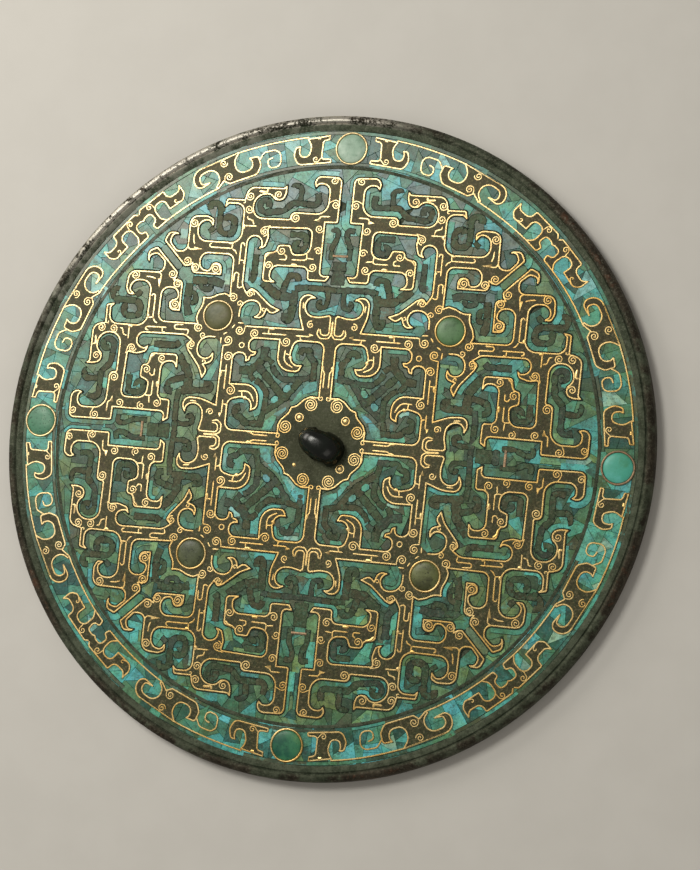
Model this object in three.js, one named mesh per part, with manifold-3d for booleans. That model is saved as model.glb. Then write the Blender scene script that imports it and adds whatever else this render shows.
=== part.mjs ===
// An ancient bronze mirror, lying on its polished face with the inlaid back upward.
//
// One bronze casting carries everything: a flat plate with a raised lip, strapwork that stands between
// shallow beds, and a pierced knob for the cord. The beds inside the ring hold sheets of turquoise
// tesserae, and eight domed stones sit in gold collars. The border's channel is left open between its
// figures. Millimetres, +Z up, underside on z = 0, axis of the disc on z.
// +X runs to the east roundel and +Y to the north roundel.
import * as THREE from "three";
import { mergeVertices } from "three/addons/utils/BufferGeometryUtils.js";
import Module from "manifold-3d";

const wasm = await Module();
wasm.setup();

// ---- Driving dimensions ----
const MIRROR_RADIUS = 105;
const ORNAMENT_Z = 5; // top of the strapwork
const BED_DEPTH = 1.2;
const BED_Z = ORNAMENT_Z - BED_DEPTH;
const LIP_Z = ORNAMENT_Z + 0.7; // crest of the rounded outer lip
const LIP_INNER_RADIUS = 102.2;
const BORDER_OUTER_RADIUS = 99.9;
const BORDER_INNER_RADIUS = 88.6;
const FIELD_RADIUS = 87.2;
const DISC_SIDES = 52;

const INLAY_TOP_Z = ORNAMENT_Z - 0.1;
const INLAY_GAP = 0.2; // mastic joint round each sheet of tesserae
const MASTIC = 0.1; // thin bedding under each inlaid piece

const OUTER_ROUNDEL_RADIUS = 94.1; // from the axis to the centre of the N, E, S and W roundels
const INNER_ROUNDEL_OFFSET = 38.06; // of the diagonal roundels, along x and along y
const COLLAR_INNER = { outer: 4.65, inner: 4.4 };
const COLLAR_WALL = 0.7;
const COLLAR_TOP_Z = ORNAMENT_Z + 0.45;
const STONE_TOP_Z = ORNAMENT_Z + 0.75;
const ROUNDEL_SIDES = 12;

// A bean-shaped knob, a little off the centre and fuller at its east end.
const KNOB = { x: 0.7, y: -0.7, length: 15.6, width: 10.2, height: 7.5, turn: -26, fuller: 0.14 };
const KNOB_ROOT = 1.2; // how far the knob reaches below the ornament, where it is one with the plate
const CORD_HOLE = { width: 4.8, height: 4.4, crown: 0.9, run: 22 }; // along y, with a rounded crown

const CHORD = 1.4; // how far a coarse outline may stray from the smooth one

// ---- Strapwork of one octant, from the north axis (x = 0) to the diagonal (x = y) ----
// Each stop is [x, y, fillet radius]; a stop with no radius is a point or a cusp.
const strap = {
  crown: [[0, 40.05], [1.3, 40.5, 1], [4.6, 39.75, 4], [9.4, 39.9, 3.4], [9.3, 45.2, 2.6], [6.2, 45.45],
    [8, 46.6, 2.5], [11.7, 46.5, 2.6], [11.5, 40.5, 8], [9.7, 35.55]],
  frame: [[28.3, 35.5], [29.3, 35.9], [30.4, 37.6]],
  eye: [[30.85, 38.2, 1], [30.85, 43.45, 3.4], [24.35, 43.45, 3], [24.35, 39.4, 2.5], [26.4, 38.35],
    [23.2, 37.5, 2.2], [22.1, 40.8]],
  beak: [[20.4, 39.4, 1.8], [17.5, 41.1], [18.6, 41.5, 0.8], [21.2, 42.6, 5], [26.3, 46.9, 1.5], [28.2, 47.8, 1],
    [29.5, 46.3]],
  upright: [[31, 48.6, 3], [31, 64.35, 2.2], [26.9, 64.3, 2.1], [26.3, 61.6, 1.2], [27.3, 60.4], [25, 60.9, 1.5],
    [24, 64.3, 3], [25.8, 67.3]],
  window: [[10.2, 67.6, 1.8], [10.2, 59.5, 2.8], [15.5, 59.2, 1.4], [16.7, 62.15, 1], [20.8, 62.1, 1.3],
    [21.2, 60, 1], [24.9, 59.2, 1.2]],
  comb: [[24.95, 49.85, 1.4], [20.3, 49.8], [22.3, 51.2, 1.4], [22.2, 55.1, 2.4], [10.3, 55.1, 1.8],
    [10.2, 50.9, 1.1], [3.9, 50.9, 0.8], [2.7, 52.85], [5.95, 52.7, 1.3]],
  post: [[6.05, 69.9], [1.95, 70, 0.7], [1.85, 84.85, 2], [10.9, 85, 2.8], [10.95, 82.4, 1], [10.45, 80.9],
    [9.4, 82.2, 1.4], [5.85, 82.2, 2.3], [5.85, 72.8, 3.7], [17.75, 72.8, 1.7], [17.95, 70.45, 0.4]],
  swan: [[30.25, 70.45, 3.2], [30.25, 77.8, 3.7], [25.2, 77.9, 2.4], [23.6, 76.2, 1.4], [20.7, 75.9, 2.2],
    [19.9, 78.9, 3], [20, 81.3], [21, 80.3, 0.8], [32.6, 80.3, 2.8], [33.6, 76.15, 0.3]],
  spur: [[39.4, 76.15, 0.8], [39.9, 73.2], [38.6, 74.45, 0.6], [33.6, 74.45, 2.4]],
  tray: [[33.5, 62.1, 3.4], [47.9, 62.1, 2.9], [47.9, 68.45, 2.6], [44.6, 68.6, 1.4], [43.2, 66.8],
    [43, 69.2, 1.2], [45.2, 70.35, 3], [51.2, 70, 2.8]],
  claw: [[51.25, 58.5, 1.9], [54.6, 58.4, 1.6], [57, 61.1, 1.4], [56.3, 63.5, 1.4], [54.2, 63.6],
    [55.2, 64.3, 1], [57.9, 64.3, 1.8], [59.3, 61.3, 0.9]],
  heel: [[51.3, 53.3, 1], [49.7, 53.5, 0.8], [48.9, 54.1], [48.95, 51.2, 1.7], [38.65, 51.2], [38.7, 55.1, 1.9],
    [42, 55.15, 1.6], [42.8, 52.6, 0.9], [46, 52.4, 2.3], [46.05, 57.9, 2.4], [35.3, 57.9, 2.1], [35.15, 45]],
  shield: [[36.6, 45.7, 1.5], [39, 45.1, 4], [41.4, 43.8, 4], [43.85, 43.85]],
};
// The edge of the enclosed cell, from the diagonal round to the diagonal again.
const cell = {
  bracket: [[25.6, 25.6], [24.2, 26, 0.8], [23.7, 27.35], [26.2, 27.3, 1.6], [26.6, 31.4, 2]],
  pendant: [[16.75, 31.4], [16.9, 21.75, 4.6], [9.3, 21.6, 1.8], [8.2, 24.1], [11.4, 23.8, 2.4], [12.5, 27.2, 4],
    [11.3, 31.5, 2.2]],
  arm: [[2.1, 31.4, 2.2], [2.1, 14.4]],
  medallion: [[4.5, 14.55, 1.6], [6.5, 13.6, 2], [8.9, 11.2, 2.4], [10.65, 10.65]],
};

// ---- Bronze figures of the border, as [degrees from the roundel's axis, radius, fillet radius] ----
const figures = {
  hook: [[4.2, 98.7, 0.7], [4.3, 97, 0.5], [5.5, 96.6, 0.8], [6, 91.1, 0.8], [4, 91, 0.5], [3.9, 89.6, 0.5],
    [11.3, 89.5, 2.2], [12, 93, 3], [11.2, 95.8, 1.2], [10, 95.8], [10.7, 94.6, 0.8], [10.8, 92, 1.3],
    [8.6, 91.4, 1.4], [7.5, 95.6, 3.2], [8.7, 98.7]],
  scroll: [[22.2, 98.7], [32.9, 98.8, 4.2], [32.8, 91.7, 2.6], [29.1, 92.8], [31.2, 93.4, 0.8], [31.6, 96.9, 2],
    [27, 97, 3.4], [27.4, 91.8, 3], [28.9, 90.3], [28.2, 89.6], [26.7, 91], [25.9, 89.5, 1], [19.6, 89.4, 2.2],
    [18.3, 92, 2], [18.5, 95.6, 0.9], [21.1, 95.9], [20.2, 94.4, 0.8], [20.3, 91.8, 2], [23.6, 91.8, 2.2],
    [23.8, 96.2, 3]],
};
// The corner figure runs from the diagonal (45 degrees) out and back to it, and its mirror image closes it.
const cornerHalf = [[45, 97.4], [44.4, 98.7, 1], [38.5, 98.8, 0.8], [38.4, 95.8, 1.6], [36.1, 95.8, 1.4],
  [35.3, 97.7], [34.9, 93.9, 2.4], [36, 92.1, 1.4], [39.5, 92.1], [39.5, 96.1, 1.6], [41.9, 96.2, 1.8],
  [41.9, 91.8, 2.2], [40.6, 89.6], [43.9, 89.5, 0.8], [44.3, 91.8, 0.9], [42.9, 92.4, 1], [43, 95.7, 1.1],
  [44.6, 95.6, 0.8], [45, 94.6]];

// ---- Outlines ----

// Rounds each stop by its fillet radius, with arcs of a few chords.
function rounded(stops) {
  const ARC_STEP = Math.PI / 3;
  const reach = stops.map(([x, y, radius = 0], i) => {
    const before = stops[i - 1], after = stops[i + 1];
    if (!radius || !before || !after) return null;
    const back = [before[0] - x, before[1] - y], on = [after[0] - x, after[1] - y];
    const lengths = [Math.hypot(...back), Math.hypot(...on)];
    const cosine = (back[0] * on[0] + back[1] * on[1]) / (lengths[0] * lengths[1]);
    const turn = Math.PI - Math.acos(Math.max(-1, Math.min(1, cosine)));
    return { turn, cut: radius * Math.tan(turn / 2), back, on, lengths };
  });
  for (let i = 0; i + 1 < stops.length; i++) { // where two fillets meet, they share the leg between them
    const a = reach[i], b = reach[i + 1];
    const leg = Math.hypot(stops[i + 1][0] - stops[i][0], stops[i + 1][1] - stops[i][1]) * 0.98;
    const wanted = (a ? a.cut : 0) + (b ? b.cut : 0);
    if (wanted <= leg) continue;
    if (a) a.cut *= leg / wanted;
    if (b) b.cut *= leg / wanted;
  }
  return stops.flatMap(([x, y], i) => {
    const r = reach[i];
    if (!r) return [[x, y]];
    const start = [x + (r.back[0] * r.cut) / r.lengths[0], y + (r.back[1] * r.cut) / r.lengths[0]];
    const side = Math.sign(r.on[0] * r.back[1] - r.on[1] * r.back[0]);
    const radius = r.cut / Math.tan(r.turn / 2);
    const along = [-r.back[0] / r.lengths[0], -r.back[1] / r.lengths[0]];
    const centre = [start[0] - side * along[1] * radius, start[1] + side * along[0] * radius];
    const from = Math.atan2(start[1] - centre[1], start[0] - centre[0]);
    const chords = Math.max(1, Math.ceil(r.turn / ARC_STEP));
    return Array.from({ length: chords + 1 }, (_, k) => {
      const angle = from + (side * r.turn * k) / chords;
      return [centre[0] + radius * Math.cos(angle), centre[1] + radius * Math.sin(angle)];
    });
  });
}

// Drops the points of an open outline that lie within the tolerance of the chord past them.
function thinned(points, tolerance) {
  const first = points[0], last = points[points.length - 1];
  const chord = [last[0] - first[0], last[1] - first[1]], span = Math.hypot(...chord) || 1;
  let far = 0, at = 0;
  points.forEach(([x, y], i) => {
    const off = Math.abs((x - first[0]) * chord[1] - (y - first[1]) * chord[0]) / span;
    if (off > far) [far, at] = [off, i];
  });
  if (far <= tolerance || points.length < 3) return [first, last];
  return [...thinned(points.slice(0, at + 1), tolerance).slice(0, -1), ...thinned(points.slice(at), tolerance)];
}

const coarse = (stops) => thinned(rounded(stops), CHORD);
const fromPolar = ([degrees, radius, fillet]) => {
  const angle = THREE.MathUtils.degToRad(degrees);
  return [radius * Math.sin(angle), radius * Math.cos(angle), fillet];
};
const swapped = (points) => points.map(([x, y]) => [y, x]).reverse(); // mirror image in the diagonal
const quarterTurned = (points, quarters) => {
  const c = Math.round(Math.cos((quarters * Math.PI) / 2)), s = Math.round(Math.sin((quarters * Math.PI) / 2));
  return points.map(([x, y]) => [c * x - s * y, s * x + c * y]);
};
const area = (points) => points.reduce((sum, [x, y], i) => {
  const [nx, ny] = points[(i + 1) % points.length];
  return sum + (x * ny - nx * y) / 2;
}, 0);
const anticlockwise = (points) => (area(points) > 0 ? points : [...points].reverse());
const closed = (points) => points.filter(([x, y], i) => {
  const [px, py] = points[(i + points.length - 1) % points.length];
  return Math.hypot(x - px, y - py) > 0.02;
});

// Moves a closed outline outward by a distance, with the corners mitred.
function grown(outline, distance) {
  const points = anticlockwise(outline);
  const normals = points.map(([x, y], i) => {
    const [nx, ny] = points[(i + 1) % points.length], length = Math.hypot(nx - x, ny - y);
    return [(ny - y) / length, (x - nx) / length];
  });
  return points.map(([x, y], i) => {
    const a = normals[(i + points.length - 1) % points.length], b = normals[i];
    const mitre = Math.max(0.25, 1 + a[0] * b[0] + a[1] * b[1]);
    return [x + ((a[0] + b[0]) * distance) / mitre, y + ((a[1] + b[1]) * distance) / mitre];
  });
}

const circle = (x, y, radius, sides) => Array.from({ length: sides }, (_, i) => {
  const angle = (2 * Math.PI * i) / sides;
  return [x + radius * Math.cos(angle), y + radius * Math.sin(angle)];
});

// ---- Solids ----
const asVectors = (points) => points.map(([x, y]) => new THREE.Vector2(x, y));

function slab(outline, holes, bottom, top) {
  const shape = new THREE.Shape(asVectors(outline));
  shape.holes = holes.map((hole) => new THREE.Path(asVectors(hole)));
  return new THREE.ExtrudeGeometry(shape, { depth: top - bottom, bevelEnabled: false }).translate(0, 0, bottom);
}

// A profile of [radius, z] pairs turned round the z axis.
const turned = (profile, sides) => new THREE.LatheGeometry(asVectors(profile), sides).rotateX(Math.PI / 2);

function solid(geometry) {
  geometry.deleteAttribute("normal");
  geometry.deleteAttribute("uv");
  const merged = mergeVertices(geometry, 1e-4);
  return new wasm.Manifold(new wasm.Mesh({
    numProp: 3,
    vertProperties: new Float32Array(merged.attributes.position.array),
    triVerts: new Uint32Array(merged.index.array),
  }));
}

function geometryOf(manifold) {
  const mesh = manifold.getMesh();
  const geometry = new THREE.BufferGeometry();
  geometry.setAttribute("position", new THREE.BufferAttribute(new Float32Array(mesh.vertProperties), 3));
  geometry.setIndex([...mesh.triVerts]);
  geometry.computeVertexNormals();
  return geometry;
}

// ---- The pattern all round the mirror ----
const quarters = [0, 1, 2, 3];
const strapOctant = coarse(Object.values(strap).flat());
const strapQuarter = [...strapOctant, ...swapped(strapOctant)];
const strapOutline = closed(quarters.flatMap((q) => quarterTurned(strapQuarter, -q)));
const cellOctant = coarse(Object.values(cell).flat());
const cellOutlines = quarters.map((q) => closed(quarterTurned([...cellOctant, ...swapped(cellOctant)], -q)));

const hook = closed(coarse(figures.hook.map(fromPolar)));
const scroll = closed(coarse(figures.scroll.map(fromPolar)));
const cornerSide = coarse(cornerHalf.map(fromPolar));
const corner = closed([...cornerSide, ...swapped(cornerSide)]);
const bordersQuarter = [hook, swapped(hook), scroll, swapped(scroll), corner];

const roundels = [
  ["north", 0, OUTER_ROUNDEL_RADIUS, COLLAR_INNER.outer, "#a9c9b6"],
  ["northeast", INNER_ROUNDEL_OFFSET, INNER_ROUNDEL_OFFSET, COLLAR_INNER.inner, "#5f8a68"],
  ["east", OUTER_ROUNDEL_RADIUS, 0, COLLAR_INNER.outer, "#4fa08c"],
  ["southeast", INNER_ROUNDEL_OFFSET, -INNER_ROUNDEL_OFFSET, COLLAR_INNER.inner, "#77794f"],
  ["south", 0, -OUTER_ROUNDEL_RADIUS, COLLAR_INNER.outer, "#2f6f57"],
  ["southwest", -INNER_ROUNDEL_OFFSET, -INNER_ROUNDEL_OFFSET, COLLAR_INNER.inner, "#4e5636"],
  ["west", -OUTER_ROUNDEL_RADIUS, 0, COLLAR_INNER.outer, "#4c8263"],
  ["northwest", -INNER_ROUNDEL_OFFSET, INNER_ROUNDEL_OFFSET, COLLAR_INNER.inner, "#7d7c5e"],
];

// ---- Bronze casting ----
function plate() {
  return solid(turned([
    [0, 0], [MIRROR_RADIUS - 1.2, 0], [MIRROR_RADIUS, 1.2], [MIRROR_RADIUS, 3.9], [MIRROR_RADIUS - 0.7, LIP_Z - 0.35],
    [MIRROR_RADIUS - 1.9, LIP_Z], [LIP_INNER_RADIUS + 0.1, ORNAMENT_Z], [LIP_INNER_RADIUS - 0.5, ORNAMENT_Z + 0.3],
    [BORDER_OUTER_RADIUS, ORNAMENT_Z], [BORDER_OUTER_RADIUS, BED_Z], [BORDER_INNER_RADIUS, BED_Z],
    [BORDER_INNER_RADIUS, ORNAMENT_Z], [FIELD_RADIUS, ORNAMENT_Z], [FIELD_RADIUS, BED_Z], [0, BED_Z],
  ], DISC_SIDES));
}

function strapwork() {
  const ROOT = 0.6; // the strapwork is one with the plate below the beds
  const bottom = BED_Z - ROOT;
  let network = solid(slab(strapOutline, cellOutlines, bottom, ORNAMENT_Z));
  for (const [, x, y, inner] of roundels) {
    if (Math.hypot(x, y) > FIELD_RADIUS) continue;
    const seat = circle(x, y, inner + COLLAR_WALL + INLAY_GAP, ROUNDEL_SIDES);
    network = network.subtract(solid(slab(seat, [], BED_Z, ORNAMENT_Z + 1)));
  }
  for (const q of quarters)
    for (const figure of bordersQuarter)
      network = network.add(solid(slab(quarterTurned(figure, -q), [], bottom, ORNAMENT_Z)));
  return network;
}

function knob() {
  const RINGS = 5, SIDES = 20;
  const rise = KNOB.height + KNOB_ROOT;
  const profile = Array.from({ length: RINGS }, (_, i) => {
    const angle = (i / RINGS) * (Math.PI / 2); // a dome whose sides are steep and whose top is low
    return [Math.cos(angle) ** 0.8 / 2, rise * Math.sin(angle) ** 0.9];
  });
  const dome = turned([[0, 0], ...profile, [0, rise]], SIDES);
  dome.scale(KNOB.length, KNOB.width, 1);
  const bean = dome.attributes.position;
  for (let i = 0; i < bean.count; i++) {
    bean.setY(i, bean.getY(i) * (1 + (KNOB.fuller * bean.getX(i)) / (KNOB.length / 2)));
  }
  dome.rotateZ(THREE.MathUtils.degToRad(KNOB.turn)).translate(KNOB.x, KNOB.y, ORNAMENT_Z - KNOB_ROOT);
  const { width, height, crown, run } = CORD_HOLE, half = width / 2;
  const arch = new THREE.Shape();
  arch.moveTo(-half, -0.1).lineTo(half, -0.1).lineTo(half, height - crown);
  arch.absarc(half - crown, height - crown, crown, 0, Math.PI / 2, false);
  arch.absarc(crown - half, height - crown, crown, Math.PI / 2, Math.PI, false);
  const hole = new THREE.ExtrudeGeometry(arch, { depth: run, bevelEnabled: false, curveSegments: 3 });
  hole.rotateX(Math.PI / 2).translate(KNOB.x, KNOB.y + run / 2, ORNAMENT_Z);
  return solid(dome).subtract(solid(hole));
}

// ---- Inlays, stones and collars ----
const inlayBottom = BED_Z + MASTIC;

function fieldSheet() {
  const rim = circle(0, 0, FIELD_RADIUS - INLAY_GAP * 2, DISC_SIDES);
  return solid(slab(rim, [grown(strapOutline, INLAY_GAP)], inlayBottom, INLAY_TOP_Z));
}

const cellSheet = (q) => solid(slab(grown(cellOutlines[q], -INLAY_GAP), [], inlayBottom, INLAY_TOP_Z));

function collar(inner) {
  const outer = inner + COLLAR_WALL;
  return turned([
    [inner, inlayBottom], [outer, inlayBottom], [outer, COLLAR_TOP_Z - 0.15],
    [inner + COLLAR_WALL / 2, COLLAR_TOP_Z], [inner, inlayBottom],
  ], ROUNDEL_SIDES);
}

function stone(inner) {
  const radius = inner - INLAY_GAP;
  return turned([
    [0, inlayBottom], [radius, inlayBottom], [radius, ORNAMENT_Z + 0.05], [radius * 0.62, STONE_TOP_Z - 0.2],
    [0, STONE_TOP_Z],
  ], ROUNDEL_SIDES);
}

// ---- Assembly ----
const finish = (color, roughness, metalness) => new THREE.MeshStandardMaterial({ color, roughness, metalness });
const bronze = finish("#5a5342", 0.6, 0.55);
const gold = finish("#c9a35c", 0.35, 1);
const turquoise = finish("#5c9c8a", 0.45, 0);

const mirror = new THREE.Group();
function add(name, geometry, material, x = 0, y = 0) {
  const mesh = new THREE.Mesh(geometry, material);
  mesh.name = name;
  mesh.position.set(x, y, 0);
  mirror.add(mesh);
}

add("mirror_disc", geometryOf(plate().add(strapwork()).add(knob())), bronze);
add("turquoise_field", geometryOf(fieldSheet()), turquoise);
for (const [q, name] of ["northeast", "southeast", "southwest", "northwest"].entries())
  add(`turquoise_cell_${name}`, geometryOf(cellSheet(q)), turquoise);
for (const [name, x, y, inner, colour] of roundels) {
  add(`collar_${name}`, collar(inner), gold, x, y);
  add(`stone_${name}`, stone(inner), finish(colour, 0.25, 0), x, y);
}

export default mirror;
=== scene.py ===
# An ancient bronze mirror lying on its polished face: every finished surface of its inlaid back.
#
# All places are worked out in millimetres in the mirror's own frame, +X to the east roundel and +Y to
# the north one, and become metres only when a piece is made. The pattern is one octant, from the north
# axis (x = 0) to the diagonal (x = y), repeated eight times by mirroring and turning.
import math
import random
from math import ceil, cos, pi, radians, sin

import bpy
import numpy as np
from mathutils import Matrix, Vector, noise
from mathutils.geometry import delaunay_2d_cdt


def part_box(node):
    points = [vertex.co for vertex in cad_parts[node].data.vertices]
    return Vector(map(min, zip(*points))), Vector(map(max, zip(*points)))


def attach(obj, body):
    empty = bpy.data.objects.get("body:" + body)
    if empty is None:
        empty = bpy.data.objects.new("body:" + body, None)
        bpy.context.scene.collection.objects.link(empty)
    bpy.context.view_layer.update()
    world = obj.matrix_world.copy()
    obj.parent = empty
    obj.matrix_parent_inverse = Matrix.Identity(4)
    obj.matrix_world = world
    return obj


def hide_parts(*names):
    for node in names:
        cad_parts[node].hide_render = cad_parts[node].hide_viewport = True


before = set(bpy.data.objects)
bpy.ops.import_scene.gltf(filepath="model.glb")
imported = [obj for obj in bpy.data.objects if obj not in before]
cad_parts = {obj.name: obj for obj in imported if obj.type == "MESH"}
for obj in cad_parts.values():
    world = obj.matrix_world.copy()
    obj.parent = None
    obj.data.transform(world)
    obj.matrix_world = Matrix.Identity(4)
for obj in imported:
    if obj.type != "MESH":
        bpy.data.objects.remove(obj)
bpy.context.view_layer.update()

MM = 0.001
QUARTER = pi / 2
TURNS = [Matrix.Rotation(-QUARTER * k, 2) for k in range(4)]


def box_mm(node):
    low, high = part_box(node)
    return [v / MM for v in low], [v / MM for v in high]


def wave(x, y, z):
    """Smooth noise between about -1 and 1."""
    return noise.noise(Vector((x, y, z)))


# ---- Sizes, from the frame ----
RADIUS, _, KNOB_TOP = box_mm("mirror_disc")[1]  # of the whole mirror
_, FIELD_REACH, FIELD_TOP = box_mm("turquoise_field")[1]
ORNAMENT = FIELD_TOP + 0.1  # z of the top of the strapwork
FIELD_RADIUS = FIELD_REACH + 0.4  # where the field meets the thin ring
RING_OUTER = FIELD_RADIUS + 1.4  # the thin ring between field and border
BORDER_OUTER = FIELD_RADIUS + 12.7  # where the border meets the raised lip
LIP_GROOVE = BORDER_OUTER + 2.3

BED = ORNAMENT - 0.42  # dark mastic between the tesserae
TILE_TOP = ORNAMENT - 0.12
BAND_TOP = ORNAMENT - 0.05
WIRE_WIDTH = 0.50
WIRE_RISE = 0.10
WIRE_INSET = 0.28  # from the bronze's edge to the wire's middle
COIL_WIDTH = 0.38
COIL_PITCH = 0.74
ARC_STEP = radians(15)
HAND_WANDER = 0.34  # how far the pattern strays from true


# ---- Camera and stage ----
def in_scene(name, data):
    made = bpy.data.objects.new(name, data)
    bpy.context.scene.collection.objects.link(made)
    return made


def make_camera():
    """Looks down on the lying mirror from the east-south-east, a little rolled."""
    distance = 729.8
    az, el, roll = (radians(degrees) for degrees in (-19.482, 73.378, -6.189))
    target = Vector((9.495, 3.401, ORNAMENT)) * MM
    back = Vector((cos(az) * cos(el), sin(az) * cos(el), sin(el)))
    data = bpy.data.cameras.new("camera")
    data.sensor_fit = "VERTICAL"
    data.sensor_height = 36
    data.lens = 96.97
    data.clip_end = 20
    camera = in_scene("camera", data)
    right = Vector((0, 1, 0)).cross(back).normalized()
    level = Matrix((right, back.cross(right), back)).transposed()
    turn = Matrix.Rotation(-roll, 3, back)
    camera.matrix_world = Matrix.Translation(target + back * distance * MM) @ (turn @ level).to_4x4()
    bpy.context.scene.camera = camera


# Name, place, aim, size, watts, colour: a low key from the north-west, the broad sheen on the bronze
# above it, and a weak fill from the south-east.
LAMPS = [
    ("key", (-740, 430, 430), (0, 0, 0), (460, 380), 3.7, (1.0, 0.95, 0.86)),
    ("sheen", (-395, 328, 830), (-50, 65, 0), (330, 300), 4.9, (1.0, 0.98, 0.89)),
    ("fill", (600, -700, 740), (0, 0, 0), (800, 700), 1.5, (1.0, 0.95, 0.86)),
]
SKY, SKY_STRENGTH = (0.95, 0.91, 0.81, 1), 0.25


def make_lights():
    for name, place, aim, size, watts, colour in LAMPS:
        data = bpy.data.lights.new(name, "AREA")
        data.shape = "RECTANGLE"
        data.size = size[0] * MM
        data.size_y = size[1] * MM
        data.energy = watts
        data.color = colour
        facing = (Vector(place) - Vector(aim)).to_track_quat("Z", "Y").to_matrix().to_4x4()
        in_scene(name, data).matrix_world = Matrix.Translation(Vector(place) * MM) @ facing
    world = bpy.data.worlds.new("studio")
    world.use_nodes = True
    background = world.node_tree.nodes["Background"]
    background.inputs["Color"].default_value = SKY
    background.inputs["Strength"].default_value = SKY_STRENGTH
    bpy.context.scene.world = world
    bpy.context.scene.view_settings.view_transform = "Standard"


# ---- Shader maths ----
class Value:
    """A socket in a material's node tree, with Python's operators as Math nodes."""

    def __init__(self, shader, socket):
        self.shader = shader
        self.socket = socket

    def _math(self, operation, a, b, clamp=False):
        settings = {"operation": operation, "use_clamp": clamp}
        return self.shader.node("ShaderNodeMath", settings, {0: a, 1: b})

    def __add__(self, other):
        return self._math("ADD", self, other)

    def __radd__(self, other):
        return self._math("ADD", other, self)

    def __sub__(self, other):
        return self._math("SUBTRACT", self, other)

    def __rsub__(self, other):
        return self._math("SUBTRACT", other, self)

    def __mul__(self, other):
        return self._math("MULTIPLY", self, other)

    def clamped(self):
        return self._math("ADD", self, 0, clamp=True)


class Finish:
    """One procedural material: its nodes, and the Principled shader they feed."""

    def __init__(self, name, **constants):
        self.material = bpy.data.materials.new(name)
        self.material.use_nodes = True
        self.tree = self.material.node_tree
        self.shader = self.tree.nodes["Principled BSDF"]
        for socket, value in constants.items():
            self.shader.inputs[socket.replace("_", " ")].default_value = value
        self.place = self.node("ShaderNodeTexCoord", output="Object")

    def node(self, kind, settings=None, sockets=None, output=0):
        made = self.tree.nodes.new(kind)
        for key, value in (settings or {}).items():
            setattr(made, key, value)
        for key, value in (sockets or {}).items():
            if isinstance(value, Value):
                self.tree.links.new(value.socket, made.inputs[key])
            else:
                made.inputs[key].default_value = value
        return Value(self, made.outputs[output])

    def xyz(self):
        outputs = self.node("ShaderNodeSeparateXYZ", {}, {0: self.place}).socket.node.outputs
        return [Value(self, outputs[i]) for i in range(3)]

    def noise(self, scale, detail, roughness=0.55):
        sockets = {"Vector": self.place, "Scale": scale, "Detail": detail, "Roughness": roughness}
        return self.node("ShaderNodeTexNoise", {}, sockets)

    def noises(self, *settings):
        """One noise for each (scale, detail, roughness)."""
        return [self.noise(*each) for each in settings]

    def speckle(self, scale):
        return self.node("ShaderNodeTexVoronoi", {}, {"Vector": self.place, "Scale": scale})

    def tint(self):
        return self.node("ShaderNodeAttribute", {"attribute_name": "tint"})

    def step(self, value, low, high):
        """Rises smoothly from 0 at low to 1 at high."""
        return self.node("ShaderNodeMapRange", {"interpolation_type": "SMOOTHSTEP"},
                         {"Value": value, "From Min": low, "From Max": high})

    def mix(self, factor, a, b, blend="MIX"):
        a, b = (v if isinstance(v, Value) else (*v, 1) for v in (a, b))
        return self.node("ShaderNodeMix", {"data_type": "RGBA", "blend_type": blend},
                         {0: factor, 6: a, 7: b}, output=2)

    def times(self, colour, by):
        return self.mix(1.0, colour, by, "MULTIPLY")

    def between(self, value, low, high, a, b):
        return self.mix(self.step(value, low, high), a, b)

    def over(self, colour, *layers):
        """Lays tints over a colour: value, the value's low and high, the layer's share, its tint."""
        for value, low, high, share, tint in layers:
            colour = self.mix(self.step(value, low, high) * share, colour, tint)
        return colour

    def feed(self, **sockets):
        for key, value in sockets.items():
            self.tree.links.new(value.socket, self.shader.inputs[key.replace("_", " ")])

    def done(self, colour, roughness, relief=None, **more):
        """Feeds the shader and gives the material; the relief is its height, strength and depth in mm."""
        self.feed(Base_Color=colour, Roughness=roughness, **more)
        if relief:
            height, strength, depth = relief
            sockets = {"Strength": strength, "Distance": depth * MM, "Height": height}
            self.feed(Normal=self.node("ShaderNodeBump", {}, sockets))
        return self.material


# ---- Finishes ----
WARM_SHEEN = (1.0, 0.94, 0.68, 1)  # the bronze and the bands shine a little yellow


def bronze_finish():
    """Dark brown cast bronze of the strapwork, grainy, with purple and green specks."""
    f = Finish("strapwork_bronze", Metallic=0.12, Specular_IOR_Level=0.34, Specular_Tint=WARM_SHEEN)
    broad, mid, fine = f.noises((60, 4), (360, 4, 0.7), (1700, 3, 0.7))
    grain = f.speckle(2300)
    _, y, _ = f.xyz()
    colour = f.between(broad, 0.36, 0.66, (0.027, 0.024, 0.010), (0.052, 0.045, 0.018))
    colour = f.over(
        colour,
        (y, 0.05, -0.04, 0.6, (0.034, 0.041, 0.018)),  # greener to the south
        (mid, 0.52, 0.62, 0.7, (0.030, 0.046, 0.022)),  # green stains
        (mid, 0.46, 0.36, 0.4, (0.050, 0.034, 0.030)),  # purple stains
        (fine, 0.54, 0.64, 0.75, (0.150, 0.122, 0.068)),  # pale grain
        (fine, 0.47, 0.38, 0.8, (0.014, 0.012, 0.009)),  # dark pits
        (grain, 0.24, 0.08, 0.4, (0.15, 0.12, 0.12)))  # purple specks
    return f.done(colour, 0.34 + fine * 0.20, (fine * 0.6 + mid * 0.4, 0.6, 0.10))


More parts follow.
